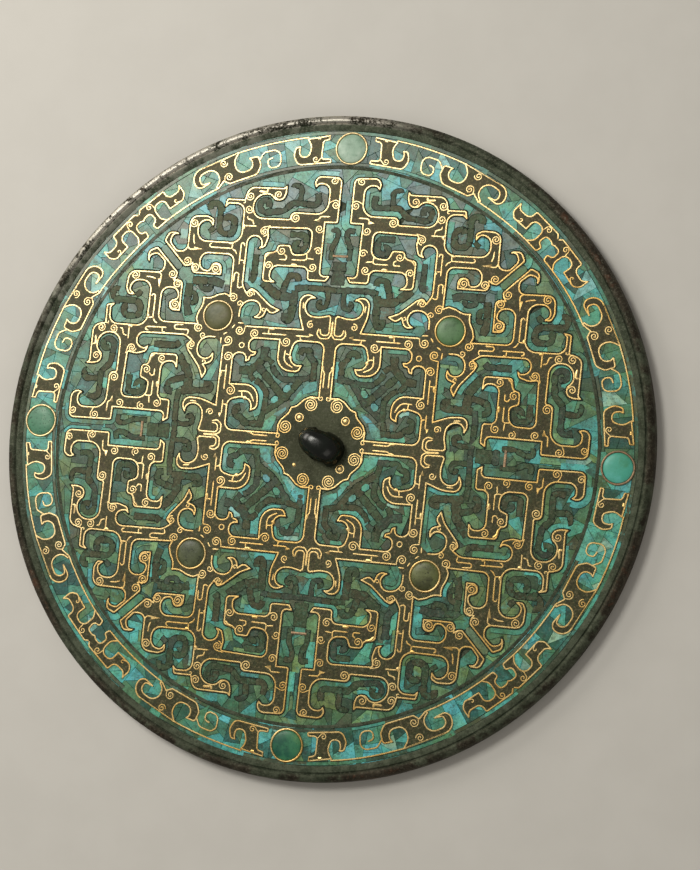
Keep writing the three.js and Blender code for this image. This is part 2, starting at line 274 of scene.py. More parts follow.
def medallion_finish():
    """Green-black, waxed bronze round the knob."""
    f = Finish("medallion_bronze", Metallic=0.1, Specular_IOR_Level=0.24, Specular_Tint=WARM_SHEEN)
    broad, mid, fine = f.noises((110, 4), (420, 4, 0.7), (1600, 3, 0.7))
    colour = f.between(broad, 0.35, 0.65, (0.024, 0.029, 0.016), (0.050, 0.058, 0.034))
    colour = f.over(
        colour,
        (mid, 0.54, 0.68, 0.6, (0.078, 0.082, 0.056)),
        (fine, 0.54, 0.66, 0.6, (0.120, 0.120, 0.088)),
        (fine, 0.46, 0.37, 0.6, (0.012, 0.014, 0.009)))
    return f.done(colour, 0.42 + fine * 0.26, (fine * 0.6 + mid * 0.4, 0.5, 0.08))


def knob_finish():
    """Almost black and polished by handling."""
    f = Finish("knob_bronze", Metallic=0.05, Specular_IOR_Level=0.45)
    broad, fine = f.noises((160, 4), (1100, 3, 0.7))
    colour = f.between(broad, 0.38, 0.68, (0.0022, 0.0032, 0.0024), (0.006, 0.010, 0.007))
    return f.done(colour, 0.15 + fine * 0.16, (fine, 0.22, 0.05))


def gold_finish():
    """Wire of old gold, with a painted sheen making it paler to the north-west, and reddish wear."""
    f = Finish("gold_wire", Metallic=1.0)
    broad, fine = f.noises((75, 3), (1500, 3, 0.65))
    x, y, _ = f.xyz()
    colour = f.between(broad, 0.38, 0.62, (0.62, 0.40, 0.13), (0.74, 0.55, 0.25))
    colour = f.over(
        colour,
        # Painted sheen: paler, creamier gold to the north-west, where the lamps reflect
        (y - x, -0.02, 0.09, 0.6, (0.78, 0.67, 0.42)),
        (fine, 0.52, 0.64, 0.7, (0.33, 0.19, 0.07)))
    return f.done(colour, 0.32 + fine * 0.20, (fine, 0.3, 0.05))


def copper_finish():
    """The dull east collar and the bars across the axes."""
    f = Finish("copper_collar", Metallic=0.7)
    fine = f.noise(1100, 4, 0.7)
    colour = f.between(fine, 0.4, 0.65, (0.34, 0.22, 0.13), (0.20, 0.15, 0.10))
    return f.done(colour, 0.40 + fine * 0.3, (fine, 0.3, 0.06))


def tile_finish():
    """Polished tesserae: each one's own tint, clouded bluer and greener, veined and specked with dark."""
    f = Finish("tesserae", Specular_IOR_Level=0.48)
    drift, stain, cloud = f.noises((95, 4, 0.6), (150, 4, 0.65), (210, 5, 0.7))
    vein, fine = f.noises((560, 5, 0.75), (1800, 3, 0.7))
    bluer, earthy = f.times(f.tint(), (0.82, 0.98, 1.12)), f.times(f.tint(), (1.08, 0.93, 0.70))
    colour = f.between(drift, 0.38, 0.62, bluer, earthy)
    colour = f.over(
        colour,
        (stain, 0.54, 0.64, 0.55, (0.070, 0.320, 0.290)),
        (stain, 0.45, 0.36, 0.45, (0.062, 0.130, 0.055)))
    colour = f.over(colour, (cloud, 0.45, 0.60, 0.75, f.times(colour, (0.46, 0.52, 0.46))))
    colour = f.over(colour, (vein, 0.55, 0.64, 0.6, (0.026, 0.044, 0.030)))
    paler = f.mix(1.0, colour, (0.12, 0.12, 0.10), "ADD")
    colour = f.over(colour, (fine, 0.55, 0.66, 0.45, paler), (fine, 0.45, 0.36, 0.5, (0.022, 0.030, 0.022)))
    return f.done(colour, 0.22 + vein * 0.22, (vein * 0.6 + fine * 0.4, 0.3, 0.08))


def band_finish():
    """Dark grey-green strips let into the tesserae, each with its own tint, specked light and dark."""
    f = Finish("dark_band", Specular_IOR_Level=0.32, Specular_Tint=WARM_SHEEN)
    cloud, mid, fine = f.noises((190, 5, 0.7), (520, 5, 0.75), (1500, 4, 0.7))
    grain = f.speckle(2000)
    colour = f.between(cloud, 0.42, 0.58, f.tint(), f.times(f.tint(), (0.50, 0.60, 0.55)))
    colour = f.over(
        colour,
        (mid, 0.52, 0.62, 0.7, (0.044, 0.125, 0.080)),
        (mid, 0.45, 0.36, 0.5, (0.062, 0.048, 0.038)),
        (fine, 0.53, 0.64, 0.6, (0.125, 0.130, 0.090)),
        (fine, 0.47, 0.38, 0.7, (0.014, 0.020, 0.014)),
        (grain, 0.24, 0.08, 0.3, (0.13, 0.11, 0.12)))
    return f.done(colour, 0.34 + fine * 0.20, (fine, 0.5, 0.09))


def mastic_finish():
    f = Finish("mastic", Specular_IOR_Level=0.2)
    fine = f.noise(900, 3, 0.7)
    colour = f.between(fine, 0.4, 0.65, (0.011, 0.018, 0.012), (0.030, 0.042, 0.028))
    return f.done(colour, 0.70 + fine * 0.2)


def stone_finish(name, dark, mid, light, pits):
    """A roundel's stone, clouded in three tones; pits says how worn its skin is."""
    f = Finish("stone_" + name, Specular_IOR_Level=0.30, Coat_Weight=0.06, Coat_Roughness=0.22)
    cloud, fine = f.noises((130, 4, 0.6), (700, 4, 0.7))
    grain = f.speckle(1100)
    colour = f.between(cloud, 0.34, 0.52, dark, mid)
    colour = f.between(cloud, 0.52, 0.70, colour, light)
    colour = f.over(
        colour,
        (fine, 0.56, 0.70, pits, [v * 0.3 for v in dark]),
        (grain, 0.28, 0.10, pits, [v * 0.4 for v in dark]))
    return f.done(colour, 0.30 + fine * 0.22, (fine * 0.5 + grain * 0.5, 0.12 + 0.3 * pits, 0.08))


def plate_finish():
    """The casting's own skin: brown lip and green inner slope; at the upper left, worn metal with a painted
    highlight on the lip and a painted sheen on the slope.
    """
    f = Finish("cast_plate", Specular_IOR_Level=0.22, Specular_Tint=WARM_SHEEN)
    x, y, z = f.xyz()
    radius = f.node("ShaderNodeMath", {"operation": "SQRT"}, {0: x * x + y * y}) * (1 / MM)
    angle = f.node("ShaderNodeMath", {"operation": "ARCTAN2"}, {0: y, 1: x})
    broad, mid, fine = f.noises((34, 4, 0.6), (260, 5, 0.7), (1500, 4, 0.75))
    grain = f.speckle(1700)
    brown = f.between(mid, 0.38, 0.62, (0.014, 0.011, 0.008), (0.044, 0.035, 0.026))
    green = f.between(mid, 0.38, 0.62, (0.026, 0.037, 0.023), (0.066, 0.082, 0.056))
    on_lip = f.step(radius + (mid - 0.5) * 2.2, LIP_GROOVE - 0.9, LIP_GROOVE + 1.0)
    patches = f.step(broad + (mid - 0.5) * 0.45, 0.50, 0.60)
    colour = f.mix(on_lip * (1 - patches * 0.8), green, brown)
    rust = f.step(broad * 0.6 + mid * 0.4, 0.44, 0.38) * on_lip
    colour = f.mix(rust * 0.6, colour, (0.105, 0.048, 0.030))
    # More pale grain and specks toward the north-west: painted sheen from the lamps on that side, laid over
    # the real grain
    sheen_side = f.step(y - x * 0.4, -0.04, 0.04)
    colour = f.over(
        colour,
        (fine, 0.54, 0.64, 0.30 + sheen_side * 0.35, (0.160, 0.158, 0.122)),
        (fine, 0.46, 0.37, 0.7, (0.010, 0.011, 0.009)),
        (grain, 0.26, 0.08, 0.15 + sheen_side * 0.35, (0.24, 0.23, 0.20)))
    # Painted sheen: a pale grey veil on the inner slope to the north-west, where the lamps' reflection falls
    sheen_way = f.step(angle, 1.5, 2.0) * f.step(angle, 3.0, 2.7)
    painted_sheen = sheen_way * f.step(z, (ORNAMENT - 0.6) * MM, ORNAMENT * MM)
    colour = f.mix(painted_sheen * f.step(mid, 0.40, 0.58) * 0.6, colour, (0.20, 0.20, 0.17))
    # Worn bright metal on the lip, kept to the side toward the lamps, so it is partly a painted highlight
    highlight_way = f.step(angle, 1.30, 1.62) * f.step(angle, 2.86, 2.40)
    wear_and_highlight = highlight_way * f.step(radius, RADIUS - 3.5, RADIUS - 2.8)
    wear_and_highlight = wear_and_highlight * f.step(fine * 0.5 + mid * 0.5, 0.46, 0.52)
    wear_and_highlight = (wear_and_highlight * f.step(z, (ORNAMENT - 1.6) * MM, (ORNAMENT - 0.2) * MM)).clamped()
    colour = f.mix(wear_and_highlight * 0.8, colour, (0.50, 0.47, 0.42))
    under = f.step(z, 0.4 * MM, 0.05 * MM)
    colour = f.mix(under * f.step(mid, 0.62, 0.45), colour, (0.150, 0.140, 0.095))
    return f.done(colour, 0.50 + fine * 0.24 - wear_and_highlight * 0.20 - under * 0.16,
                  (mid * 0.4 + fine * 0.6, 0.7, 0.14), Metallic=0.12 + wear_and_highlight * 0.6 + under * 0.45)


def floor_finish():
    f = Finish("pale_table")
    fine = f.noise(60, 3)
    return f.done(f.between(fine, 0.3, 0.7, (0.56, 0.54, 0.515), (0.58, 0.56, 0.535)), 0.62 + fine * 0.1)


# ---- Outlines ----
def spoke(x, y, radius, angle):
    return Vector((x + radius * cos(angle), y + radius * sin(angle)))


def as_vectors(points):
    return [Vector((p[0], p[1])) for p in points]


def middle_of(points):
    return sum(points, Vector((0, 0))) / len(points)


def signed_area(path):
    return sum(a.x * b.y - b.x * a.y for a, b in zip(path, path[1:] + path[:1])) / 2


def rounded(stops):
    """Rounds each stop [x, y, fillet radius] of an open outline; a stop with no radius stays a point."""
    stops = [(s[0], s[1], s[2] if len(s) > 2 else 0.0) for s in stops]
    last = len(stops) - 1
    turns, cuts = [0.0] * (last + 1), [0.0] * (last + 1)
    for i in range(1, last):
        if not stops[i][2]:
            continue
        back = Vector(stops[i - 1][:2]) - Vector(stops[i][:2])
        on = Vector(stops[i + 1][:2]) - Vector(stops[i][:2])
        turns[i] = pi - back.angle(on)
        cuts[i] = stops[i][2] * math.tan(turns[i] / 2)
    for i in range(last):
        leg = math.dist(stops[i][:2], stops[i + 1][:2]) * 0.98
        if cuts[i] + cuts[i + 1] > leg:
            share = leg / (cuts[i] + cuts[i + 1])
            cuts[i] *= share
            cuts[i + 1] *= share
    path = []
    for i, (x, y, _) in enumerate(stops):
        here = Vector((x, y))
        if cuts[i] < 1e-4:
            path.append(here)
            continue
        way_in = (here - Vector(stops[i - 1][:2])).normalized()
        way_out = (Vector(stops[i + 1][:2]) - here).normalized()
        side = 1 if way_in.cross(way_out) > 0 else -1
        radius = cuts[i] / math.tan(turns[i] / 2)
        start = here - way_in * cuts[i]
        centre = start + Vector((-way_in.y, way_in.x)) * side * radius
        chords = max(2, ceil(turns[i] / ARC_STEP))
        for k in range(chords + 1):
            spun = start - centre
            spun.rotate(Matrix.Rotation(side * turns[i] * k / chords, 2))
            path.append(centre + spun)
    return path


def from_polar(stops):
    """[degrees from the north roundel's axis, radius, fillet] to [x, y, fillet]."""
    out = []
    for degrees, radius, *fillet in stops:
        angle = radians(degrees)
        out.append([radius * sin(angle), radius * cos(angle), *fillet])
    return out


def ring_arc(radius, start, end, step=2.0):
    """Points along the border at one radius, between two angles in degrees."""
    count = max(1, round(abs(end - start) / step))
    return as_vectors(from_polar([[start + (end - start) * i / count, radius] for i in range(count + 1)]))


def shifted(path, distance, closed=False):
    """Moves an outline sideways, to its left for a positive distance."""
    out, last = [], len(path) - 1
    for i, here in enumerate(path):
        before = path[i - 1] if i or closed else here
        after = path[(i + 1) % (last + 1)] if i < last or closed else here
        a = (here - before).normalized() if (here - before).length > 1e-6 else (after - here).normalized()
        b = (after - here).normalized() if (after - here).length > 1e-6 else a
        normal = Vector((-(a.y + b.y), a.x + b.x))
        if normal.length < 0.3:
            normal = Vector((-a.y, a.x))
        normal.normalize()
        reach = 1 / max(0.5, normal.dot(Vector((-a.y, a.x))))
        out.append(here + normal * distance * reach)
    return out


def evenly(path, step=0.7):
    """The same line with a point at least every step."""
    out = [path[0]]
    for a, b in zip(path, path[1:]):
        count = max(1, ceil((b - a).length / step))
        out += [a.lerp(b, i / count) for i in range(1, count + 1)]
    return out


def swapped(path):
    """The mirror image across the diagonal, running on from the path's end."""
    return [Vector((p[1], p[0])) for p in reversed(path)]


def coil(x, y, radius, start, sense, pitch=COIL_PITCH):
    """A wire's coiled end: an Archimedean spiral from its rim in to its eye."""
    rim, eye = radius * 1.08 - COIL_WIDTH / 2, COIL_WIDTH * 0.42
    turns = (rim - eye) / pitch
    steps = max(10, ceil(turns * 20))
    path = []
    for i in range(steps + 1):
        share = i / steps
        path.append(spoke(x, y, rim + (eye - rim) * share, start + sense * 2 * pi * turns * share))
    return path


def octants():
    """The eight placings of the pattern, as functions of a point; every other one is a mirror image."""
    for turn in TURNS:
        yield False, lambda p, turn=turn: turn @ Vector((p[0], p[1]))
        yield True, lambda p, turn=turn: turn @ Vector((p[1], p[0]))


def copies(path):
    """A path placed in every octant; one on an axis or a diagonal is its own mirror image."""
    on_axis = all(abs(p[0]) < 1e-6 for p in path) or all(abs(p[0] - p[1]) < 1e-6 for p in path)
    for mirrored, place in octants():
        if not (on_axis and mirrored):
            yield [place(p) for p in path]


def by_hand(p):
    """The small wander of hand work, the same for every layer, so that they stay together."""
    spot = Vector((p[0] * 0.045, p[1] * 0.045, 3.7))
    return Vector((p[0] + HAND_WANDER * wave(*spot), p[1] + HAND_WANDER * wave(*spot + Vector((40, 9, 0)))))


# ---- Pieces ----
def mesh_of(name, points, faces):
    mesh = bpy.data.meshes.new(name)
    mesh.from_pydata([Vector(p) * MM for p in points], [], faces)
    return mesh


class Piece:
    """Gathers points (mm) and faces, and then becomes one object that rides on the mirror."""

    def __init__(self):
        self.points, self.faces, self.tints = [], [], []

    def add(self, points, faces, tint=None):
        first = len(self.points)
        self.points.extend(points)
        self.faces.extend([tuple(first + i for i in face) for face in faces])
        self.tints.extend([tint] * len(faces))

    def made(self, name, material, slot, replaces=(), sharp=35):
        mesh = mesh_of(name, self.points, self.faces)
        if any(self.tints):
            layer = mesh.attributes.new("tint", "FLOAT_COLOR", "CORNER")
            for polygon, tint in zip(mesh.polygons, self.tints):
                for corner in polygon.loop_indices:
                    layer.data[corner].color = (*tint, 1)
        mesh.materials.append(material)
        mesh.shade_smooth()
        mesh.set_sharp_from_angle(angle=radians(sharp))
        piece = in_scene(name, mesh)
        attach(piece, "root")
        if replaces:
            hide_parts(*replaces)
        return piece


def lofted(piece, rings, close_ends=False, flip=False, tint=None):
    """Joins rings of points of one length with quads."""
    count, faces = len(rings[0]), []
    for k in range(len(rings) - 1):
        for i in range(count):
            j = (i + 1) % count
            a, b, c, d = k * count + i, k * count + j, (k + 1) * count + j, (k + 1) * count + i
            faces.append((d, c, b, a) if flip else (a, b, c, d))
    if close_ends:
        first, last = list(range(count)), list(range((len(rings) - 1) * count, len(rings) * count))
        faces += [tuple(first if flip else reversed(first)), tuple(reversed(last) if flip else last)]
    piece.add([p for ring in rings for p in ring], faces, tint)


def swept(piece, path, section, taper=0.0, ragged=0.0, tint=None):
    """Sweeps a section of (across, z) pairs along a flat path; both ends are closed."""
    path = [p for i, p in enumerate(path) if not i or (p - path[i - 1]).length > 0.02]
    if len(path) < 2:
        return
    parts = unkinked(path, 0.3 * max(across for across, _ in section))
    if len(parts) > 1:
        for i, part in enumerate(parts):
            lower = 0.006 * (i % 3)  # parts that cross never share one level
            swept(piece, part, [(across, z - lower) for across, z in section], taper, ragged, tint)
        return
    if taper:
        path = with_shoulders(path, taper)
    left, right = shifted(path, 1), shifted(path, -1)
    run, rings = 0.0, []
    length = sum((b - a).length for a, b in zip(path, path[1:]))
    for i, here in enumerate(path):
        run += (here - path[i - 1]).length if i else 0.0
        nearer = min(run, length - run)
        thin = min(1.0, 0.25 + 0.75 * nearer / taper) if taper else 1.0
        half = (left[i] - right[i]) / 2
        thin *= 1 + ragged * wave(here.x * 0.7, here.y * 0.7, 5)
        rings.append([(*by_hand(here + half * across * thin), z) for across, z in section])
    lofted(piece, rings, close_ends=True, tint=tint)


def unkinked(path, overlap):
    """Parts a path at its sharp corners; the parts run on a little, to meet in a clean point."""
    parts, part = [], [path[0]]
    for i in range(1, len(path) - 1):
        part.append(path[i])
        before, after = path[i] - path[i - 1], path[i + 1] - path[i]
        if before.length > 1e-4 and after.length > 1e-4 and before.angle(after) > radians(50):
            part[-1] = path[i] + before.normalized() * overlap
            parts.append(part)
            part = [path[i] - after.normalized() * overlap]
    parts.append(part + [path[-1]])
    return parts


def with_shoulders(path, reach):
    """Adds a point a short way in from each end, where a tapered strip gains its full width."""
    out = list(path)
    for _ in range(2):
        first, second = out[0], out[1]
        if (second - first).length > reach * 1.2:
            out.insert(1, first.lerp(second, reach / (second - first).length))
        out.reverse()
    return out


def wire_section(width):
    """A flattened round wire, standing a little proud of the bronze."""
    half, root = width / 2, ORNAMENT - 0.25
    shoulder, crown = ORNAMENT + WIRE_RISE * 0.1, ORNAMENT + WIRE_RISE * 0.85
    return [(-half, root), (half, root), (half * 0.98, shoulder), (half * 0.74, crown),
            (0, ORNAMENT + WIRE_RISE), (-half * 0.74, crown), (-half * 0.98, shoulder)]


def strip_section(width, top, edge=0.05):
    """A flat strip from the bed up to its top, with bevelled edges."""
    half = width / 2
    return [(-half, BED), (half, BED), (half, top - edge), (half - edge, top), (-half + edge, top),
            (-half, top - edge)]


# ---- The strapwork of one octant: [x, y, fillet radius], from the north axis to the diagonal ----
CROWN = [
    [0, 40.05], [1.3, 40.5, 1], [4.6, 39.75, 4], [9.4, 39.9, 3.4], [9.3, 45.2, 2.6], [6.2, 45.45],
    [8.0, 46.6, 2.5], [11.7, 46.5, 2.6], [11.5, 40.5, 8], [9.7, 35.55], [28.3, 35.5],
]
WINDOW_CORNER = [[29.3, 35.9], [30.4, 37.6]]  # here the bronze has no wire
EYE = [
    [30.85, 38.2, 1], [30.85, 43.45, 3.4], [24.35, 43.45, 3], [24.35, 39.4, 2.5], [26.4, 38.35],
    [23.2, 37.5, 2.2], [22.1, 40.8],
]
BEAK = [
    [20.4, 39.4, 1.8], [17.5, 41.1], [18.6, 41.5, 0.8], [21.2, 42.6, 5], [26.3, 46.9, 1.5],
    [28.2, 47.8, 1], [29.5, 46.3],
]
UPRIGHT = [
    [31.0, 48.6, 3], [31.0, 64.35, 2.2], [26.9, 64.3, 2.1], [26.3, 61.6, 1.2], [27.3, 60.4],
    [25.0, 60.9, 1.5], [24.0, 64.3, 3], [24.5, 67.2, 0.4],
]
WINDOW = [
    [10.2, 67.6, 1.8], [10.2, 59.5, 2.8], [15.5, 59.2, 1.4], [16.7, 62.15, 1], [20.8, 62.1, 1.3],
    [21.2, 60, 1], [24.9, 59.2, 1.2],
]
COMB = [
    [24.95, 49.85, 1.4], [20.3, 49.8], [22.3, 51.2, 1.4], [22.2, 55.1, 2.4], [10.3, 55.1, 1.8],
    [10.2, 50.9, 1.1], [3.9, 50.9, 0.8], [2.7, 52.85], [5.95, 52.7, 1.3],
]
POST = [
    [6.05, 69.9], [1.95, 70.0, 0.7], [1.85, 84.85, 2], [10.9, 85.0, 2.8], [10.95, 82.4, 1], [10.45, 80.9],
    [9.4, 82.2, 1.4], [5.85, 82.2, 2.3], [5.85, 72.8, 3.7], [17.75, 72.8, 1.7], [17.95, 70.45, 0.4],
]
SWAN = [
    [30.25, 70.45, 3.2], [30.25, 77.8, 3.7], [25.2, 77.9, 2.4], [23.6, 76.2, 1.4], [20.7, 75.9, 2.2],
    [19.9, 78.9, 3], [20.0, 81.3], [21.0, 80.3, 0.8], [32.6, 80.3, 2.8], [33.6, 76.15, 0.3],
]
SPUR = [[39.4, 76.15, 0.8], [39.9, 73.2], [38.6, 74.45, 0.6], [33.6, 74.45, 2.4]]
TRAY = [
    [33.5, 62.1, 3.4], [47.9, 62.1, 2.9], [47.9, 68.45, 2.6], [44.6, 68.6, 1.4], [43.2, 66.8],
    [43.0, 69.2, 1.2], [45.2, 70.35, 3], [51.2, 70.0, 2.8],
]
CLAW = [
    [51.25, 58.5, 1.9], [54.6, 58.4, 1.6], [57.0, 61.1, 1.4], [56.3, 63.5, 1.4], [54.2, 63.6],
    [55.2, 64.3, 1], [57.9, 64.3, 1.8], [59.3, 61.3, 0.9],
]
HEEL = [
    [51.3, 53.3, 1], [49.7, 53.5, 0.8], [48.9, 54.1], [48.95, 51.2, 1.7], [38.65, 51.2],
    [38.7, 55.1, 1.9], [42.0, 55.15, 1.6], [42.8, 52.6, 0.9], [46.0, 52.4, 2.3], [46.05, 57.9, 2.4],
    [35.3, 57.9, 2.1], [35.15, 45.0],
]
SHIELD = [[36.6, 45.7, 1.5], [39.0, 45.1, 4], [41.4, 43.8, 4], [43.85, 43.85]]
STRAP = EYE + BEAK + UPRIGHT + WINDOW + COMB + POST + SWAN + SPUR + TRAY + CLAW + HEEL + SHIELD

# The edge of the enclosed cell, from the diagonal round to the diagonal again.
BRACKET = [[25.6, 25.6], [24.2, 26.0, 0.8], [23.7, 27.35], [26.2, 27.3, 1.6], [26.6, 31.4, 2]]
PENDANT = [
    [16.75, 31.4], [16.9, 21.75, 4.6], [9.3, 21.6, 1.8], [8.2, 24.1], [11.4, 23.8, 2.4], [12.5, 27.2, 4],
    [11.3, 31.5, 2.2],
]
ARM = [[2.1, 31.4, 2.2], [2.1, 14.4]]
MEDALLION = [[4.5, 14.55, 1.6], [6.5, 13.6, 2], [8.9, 11.2, 2.4], [10.65, 10.65]]
CELL = BRACKET + PENDANT + ARM + MEDALLION

# Coiled wire ends: x, y, outer radius, and the sense they wind in.
COILS = [
    (4.3, 11.8, 2.15, 1), (1.15, 14.1, 0.95, -1), (14.4, 31.1, 1.6, -1), (25.05, 33.05, 1.55, 1),
    (30.26, 33.8, 1.6, 1), (7.1, 37.0, 1.3, -1), (3.3, 75.9, 1.6, 1), (4.5, 83.6, 1.3, 1),
    (16.0, 70.9, 1.6, -1), (7.8, 67.9, 1.5, 1), (7.4, 60.6, 1.4, 1), (8.7, 55.25, 1.45, -1),
    (19.3, 60.1, 1.35, -1), (23.2, 55.2, 1.4, -1), (22.6, 78.0, 1.35, 1), (31.8, 77.2, 1.5, -1),
    (31.7, 73.0, 1.4, 1), (33.75, 75.2, 0.7, 1), (49.6, 67.6, 1.5, -1), (40.75, 53.1, 1.65, 1),
    (47.5, 53.0, 1.5, 1), (50.6, 55.1, 1.45, -1), (33.75, 44.2, 1.5, 1), (31.4, 42.4, 1.2, -1),
    (23.1, 41.1, 0.85, 1),
]
# Interlocked curls of two wires: x, y, outer radius, angle of the first wire's start, sense.
DOUBLE_COILS = [(25.9, 66.0, 1.55, 90, -1), (28.1, 45.9, 1.4, 200, -1)]
COIL_LINK = [(24.0, 67.9), (26.0, 67.48)]  # a short wire beside the first of them
RINGS = [(29.0, 29.0, 0.8)]  # plain small rings, on the diagonal
RING_DOT = (7.5, 7.5, 1.45, 0.75)  # ring and dot beside the knob: x, y, ring, dot

# Short wires on the strapwork: width, then stops.
TICKS = [
    (0.5, [[1.7, 40.15], [0.88, 39.8, 0.6], [0.85, 34.0, 1.0], [3.5, 33.9, 1.3], [3.85, 36.0]]),
    (0.5, [[0.08, 38.4], [0.12, 34.2, 1.0], [1.0, 32.95, 0.8], [3.6, 32.85, 1.5], [4.75, 34.3, 1.0],
           [4.3, 36.0]]),
    (0.5, [[0.85, 17.3], [0.85, 21.9, 0.8], [1.4, 23.0]]), (1.0, [[1.5, 22.6], [1.6, 24.2]]),
    (0.5, [[12.4, 26.9], [13.6, 27.2], [14.4, 27.2]]), (1.3, [[12.3, 25.4], [12.4, 26.7]]),
    (0.5, [[14.3, 28.5], [14.5, 24.6, 2.6], [11.3, 23.05]]), (1.0, [[18.7, 34.85], [20.7, 34.85]]),
    (0.5, [[20.5, 34.6], [20.5, 33.4]]), (0.5, [[14.6, 33.25], [22.6, 33.25]]),
    (0.5, [[7.0, 33.2], [11.4, 33.2]]), (0.5, [[10.0, 33.1], [9.8, 32.1], [9.0, 31.6]]),
    (0.5, [[29.2, 36.1], [31.2, 36.2]]), (0.5, [[32.1, 35.6], [32.95, 34.3]]),
    (0.5, [[10.15, 41.9], [10.3, 44.1]]),
    (0.5, [[4.7, 72.0], [7.7, 71.9, 0.6], [8.4, 70.9], [9.8, 70.5]]),
    (0.5, [[11.0, 59.8], [10.8, 57.4, 0.8], [15.8, 57.4]]), (0.5, [[10.7, 58.1], [8.5, 57.9]]),
    (0.5, [[18.4, 59.0], [17.5, 58.4, 0.5], [17.6, 57.3, 0.5], [19.8, 57.3]]),
    (1.1, [[13.9, 55.8], [15.8, 55.8]]), (0.85, [[21.6, 59.5], [23.4, 59.1, 1], [24.3, 57.9]]),
    (0.8, [[26.3, 79.7], [26.4, 78.7, 0.4], [29.1, 78.9]]),
    (0.5, [[32.1, 70.8], [31.9, 69.9, 0.4], [30.1, 69.4, 0.6], [29.7, 68.1]]),
    (0.5, [[28.7, 67.65], [32.6, 67.65]]), (1.3, [[32.8, 66.6], [32.9, 68.0]]),
    (0.5, [[31.9, 61.0], [32.2, 62.0, 0.4], [33.1, 62.0, 0.5], [33.1, 55.0]]),
    (1.0, [[31.5, 55.3], [31.5, 56.1]]), (0.5, [[31.6, 56.3], [32.9, 56.4]]),
    (0.5, [[31.2, 47.9], [32.8, 47.2, 0.6], [32.8, 52.3, 0.8], [34.2, 52.4, 0.7], [34.3, 49.4]]),
    (1.1, [[35.8, 61.6], [37.2, 61.6]]),
    (0.5, [[36.0, 61.4], [36.2, 60.0], [43.4, 60.0, 0.6], [43.8, 60.8, 0.4], [43.0, 61.3]]),
    (0.5, [[36.0, 59.9], [34.8, 59.2, 0.8], [34.3, 58.3]]),
    (0.5, [[49.4, 63.9], [49.3, 62.0, 1.5], [48.8, 60.6]]),
    (0.5, [[48.6, 58.95], [50.5, 58.9, 1], [51.1, 60.3]]),
]
# Pointed studs, from the tip to the middle of the foot, and the foot's width.
WEDGES = [
    ((45.4, 59.15), (48.9, 59.3), 1.25), ((5.5, 33.75), (7.2, 33.75), 1.2),
    ((9.9, 70.5), (7.9, 70.6), 1.2),
]
AXIS_BAR = (2.5, 59.4)  # the end of a copper-coloured bar across the axis

# Dark strips among the tesserae: width, then stops.
BANDS = [
    (1.8, [[9.5, 79.3], [8.8, 75.4, 1.6], [17.5, 75.7, 2], [20.4, 72.9, 2], [28.4, 71.9, 2.6],
           [28.3, 76.3, 1.9], [25.0, 75.9, 1.2], [25.6, 73.8]]),
    (1.7, [[15.3, 76.5], [14.9, 81.4, 1.6], [17.7, 81.2, 0.6], [17.8, 80.6]]),
    (1.8, [[17.3, 65.6], [11.8, 65.6, 1], [11.7, 60.6, 1.8], [15.3, 60.8, 1], [15.4, 63.3, 1],
           [13.7, 62.9]]),
    (1.5, [[4.0, 67.6], [1.5, 68.0, 1], [1.5, 65.4, 1], [3.0, 62.2, 2], [2.9, 58.0]]),
    (4.2, [[0, 50.0], [0, 57.6]]), (1.7, [[0, 48.3], [4.0, 48.6], [10.0, 48.7], [13.8, 48.2]]),
    (1.5, [[2.7, 48.0], [2.5, 45.4], [3.0, 42.9, 1], [5.2, 42.6, 0.8], [5.5, 44.2, 0.5], [4.3, 44.4]]),
    (1.9, [[12.8, 50.5], [13.1, 52.6, 1.4], [15.9, 52.2, 1.2], [17.0, 49.4, 2], [17.6, 46.8]]),
    (2.6, [[14.2, 45.4], [19.2, 45.6, 5], [24.6, 49.8]]),
    (2.2, [[13.5, 47.6], [13.7, 43.5, 4], [14.0, 38.2, 1.2], [15.9, 38.0, 0.8], [15.9, 40.3]]),
    (1.9, [[27.7, 58.6], [27.7, 51.0, 1], [28.8, 49.8]]),
    (1.9, [[44.6, 72.3], [45.0, 74.3, 1.2], [41.3, 74.5, 1.6], [41.2, 64.7, 2.4], [36.4, 64.6, 1.8],
           [36.2, 69.9, 1.8], [39.2, 70.3, 1], [39.5, 68.9]]),
    (1.4, [[39.7, 72.6], [41.0, 72.6]]), (1.5, [[42.9, 66.6], [43.6, 65.7], [44.6, 65.0]]),
    (2.3, [[37.5, 48.2], [40.8, 49.2, 3], [46.0, 49.0], [48.0, 48.9]]),
    (1.6, [[45.2, 48.4], [44.9, 46.6, 1.2], [41.7, 46.3, 1], [41.6, 47.9]]),
    (1.8, [[9.4, 27.3], [8.9, 28.9, 0.8], [6.4, 28.8, 1], [6.1, 26.9, 1], [4.4, 25.3, 1.5], [4.4, 16.5]]),
    (1.7, [[4.4, 20.5], [9.0, 19.4, 4], [14.6, 19.1, 2.4], [17.2, 21.4, 2], [18.2, 23.2]]),
    (2.0, [[8.4, 19.4], [13.2, 12.8]]), (2.3, [[12.6, 12.6], [24.0, 24.0]]),
    (2.4, [[21.0, 29.0], [21.3, 25.0, 2.5], [24.6, 21.9]]),
    (1.6, [[18.0, 23.8], [19.6, 25.2, 0.8], [21.0, 25.0]]), (1.8, [[30.4, 33.4], [30.4, 33.6]]),
]
# Single stones, bright beside the medallion and green out on the diagonals: width, then stops.
BRIGHT = [(1.9, [[11.6, 17.3], [13.4, 15.3]]), (2.1, [[52.6, 52.6], [59.6, 59.6]])]
# Turquoise stones that follow the medallion's edge.
SHARDS = [
    [(2.9, 19.5), (2.9, 16.1), (5.2, 15.5), (7.2, 14.5), (7.6, 16.5), (5.6, 18.9)],
    [(7.4, 14.3), (9.7, 12.1), (10.6, 12.3), (8.6, 15.6), (7.8, 16.3)],
]


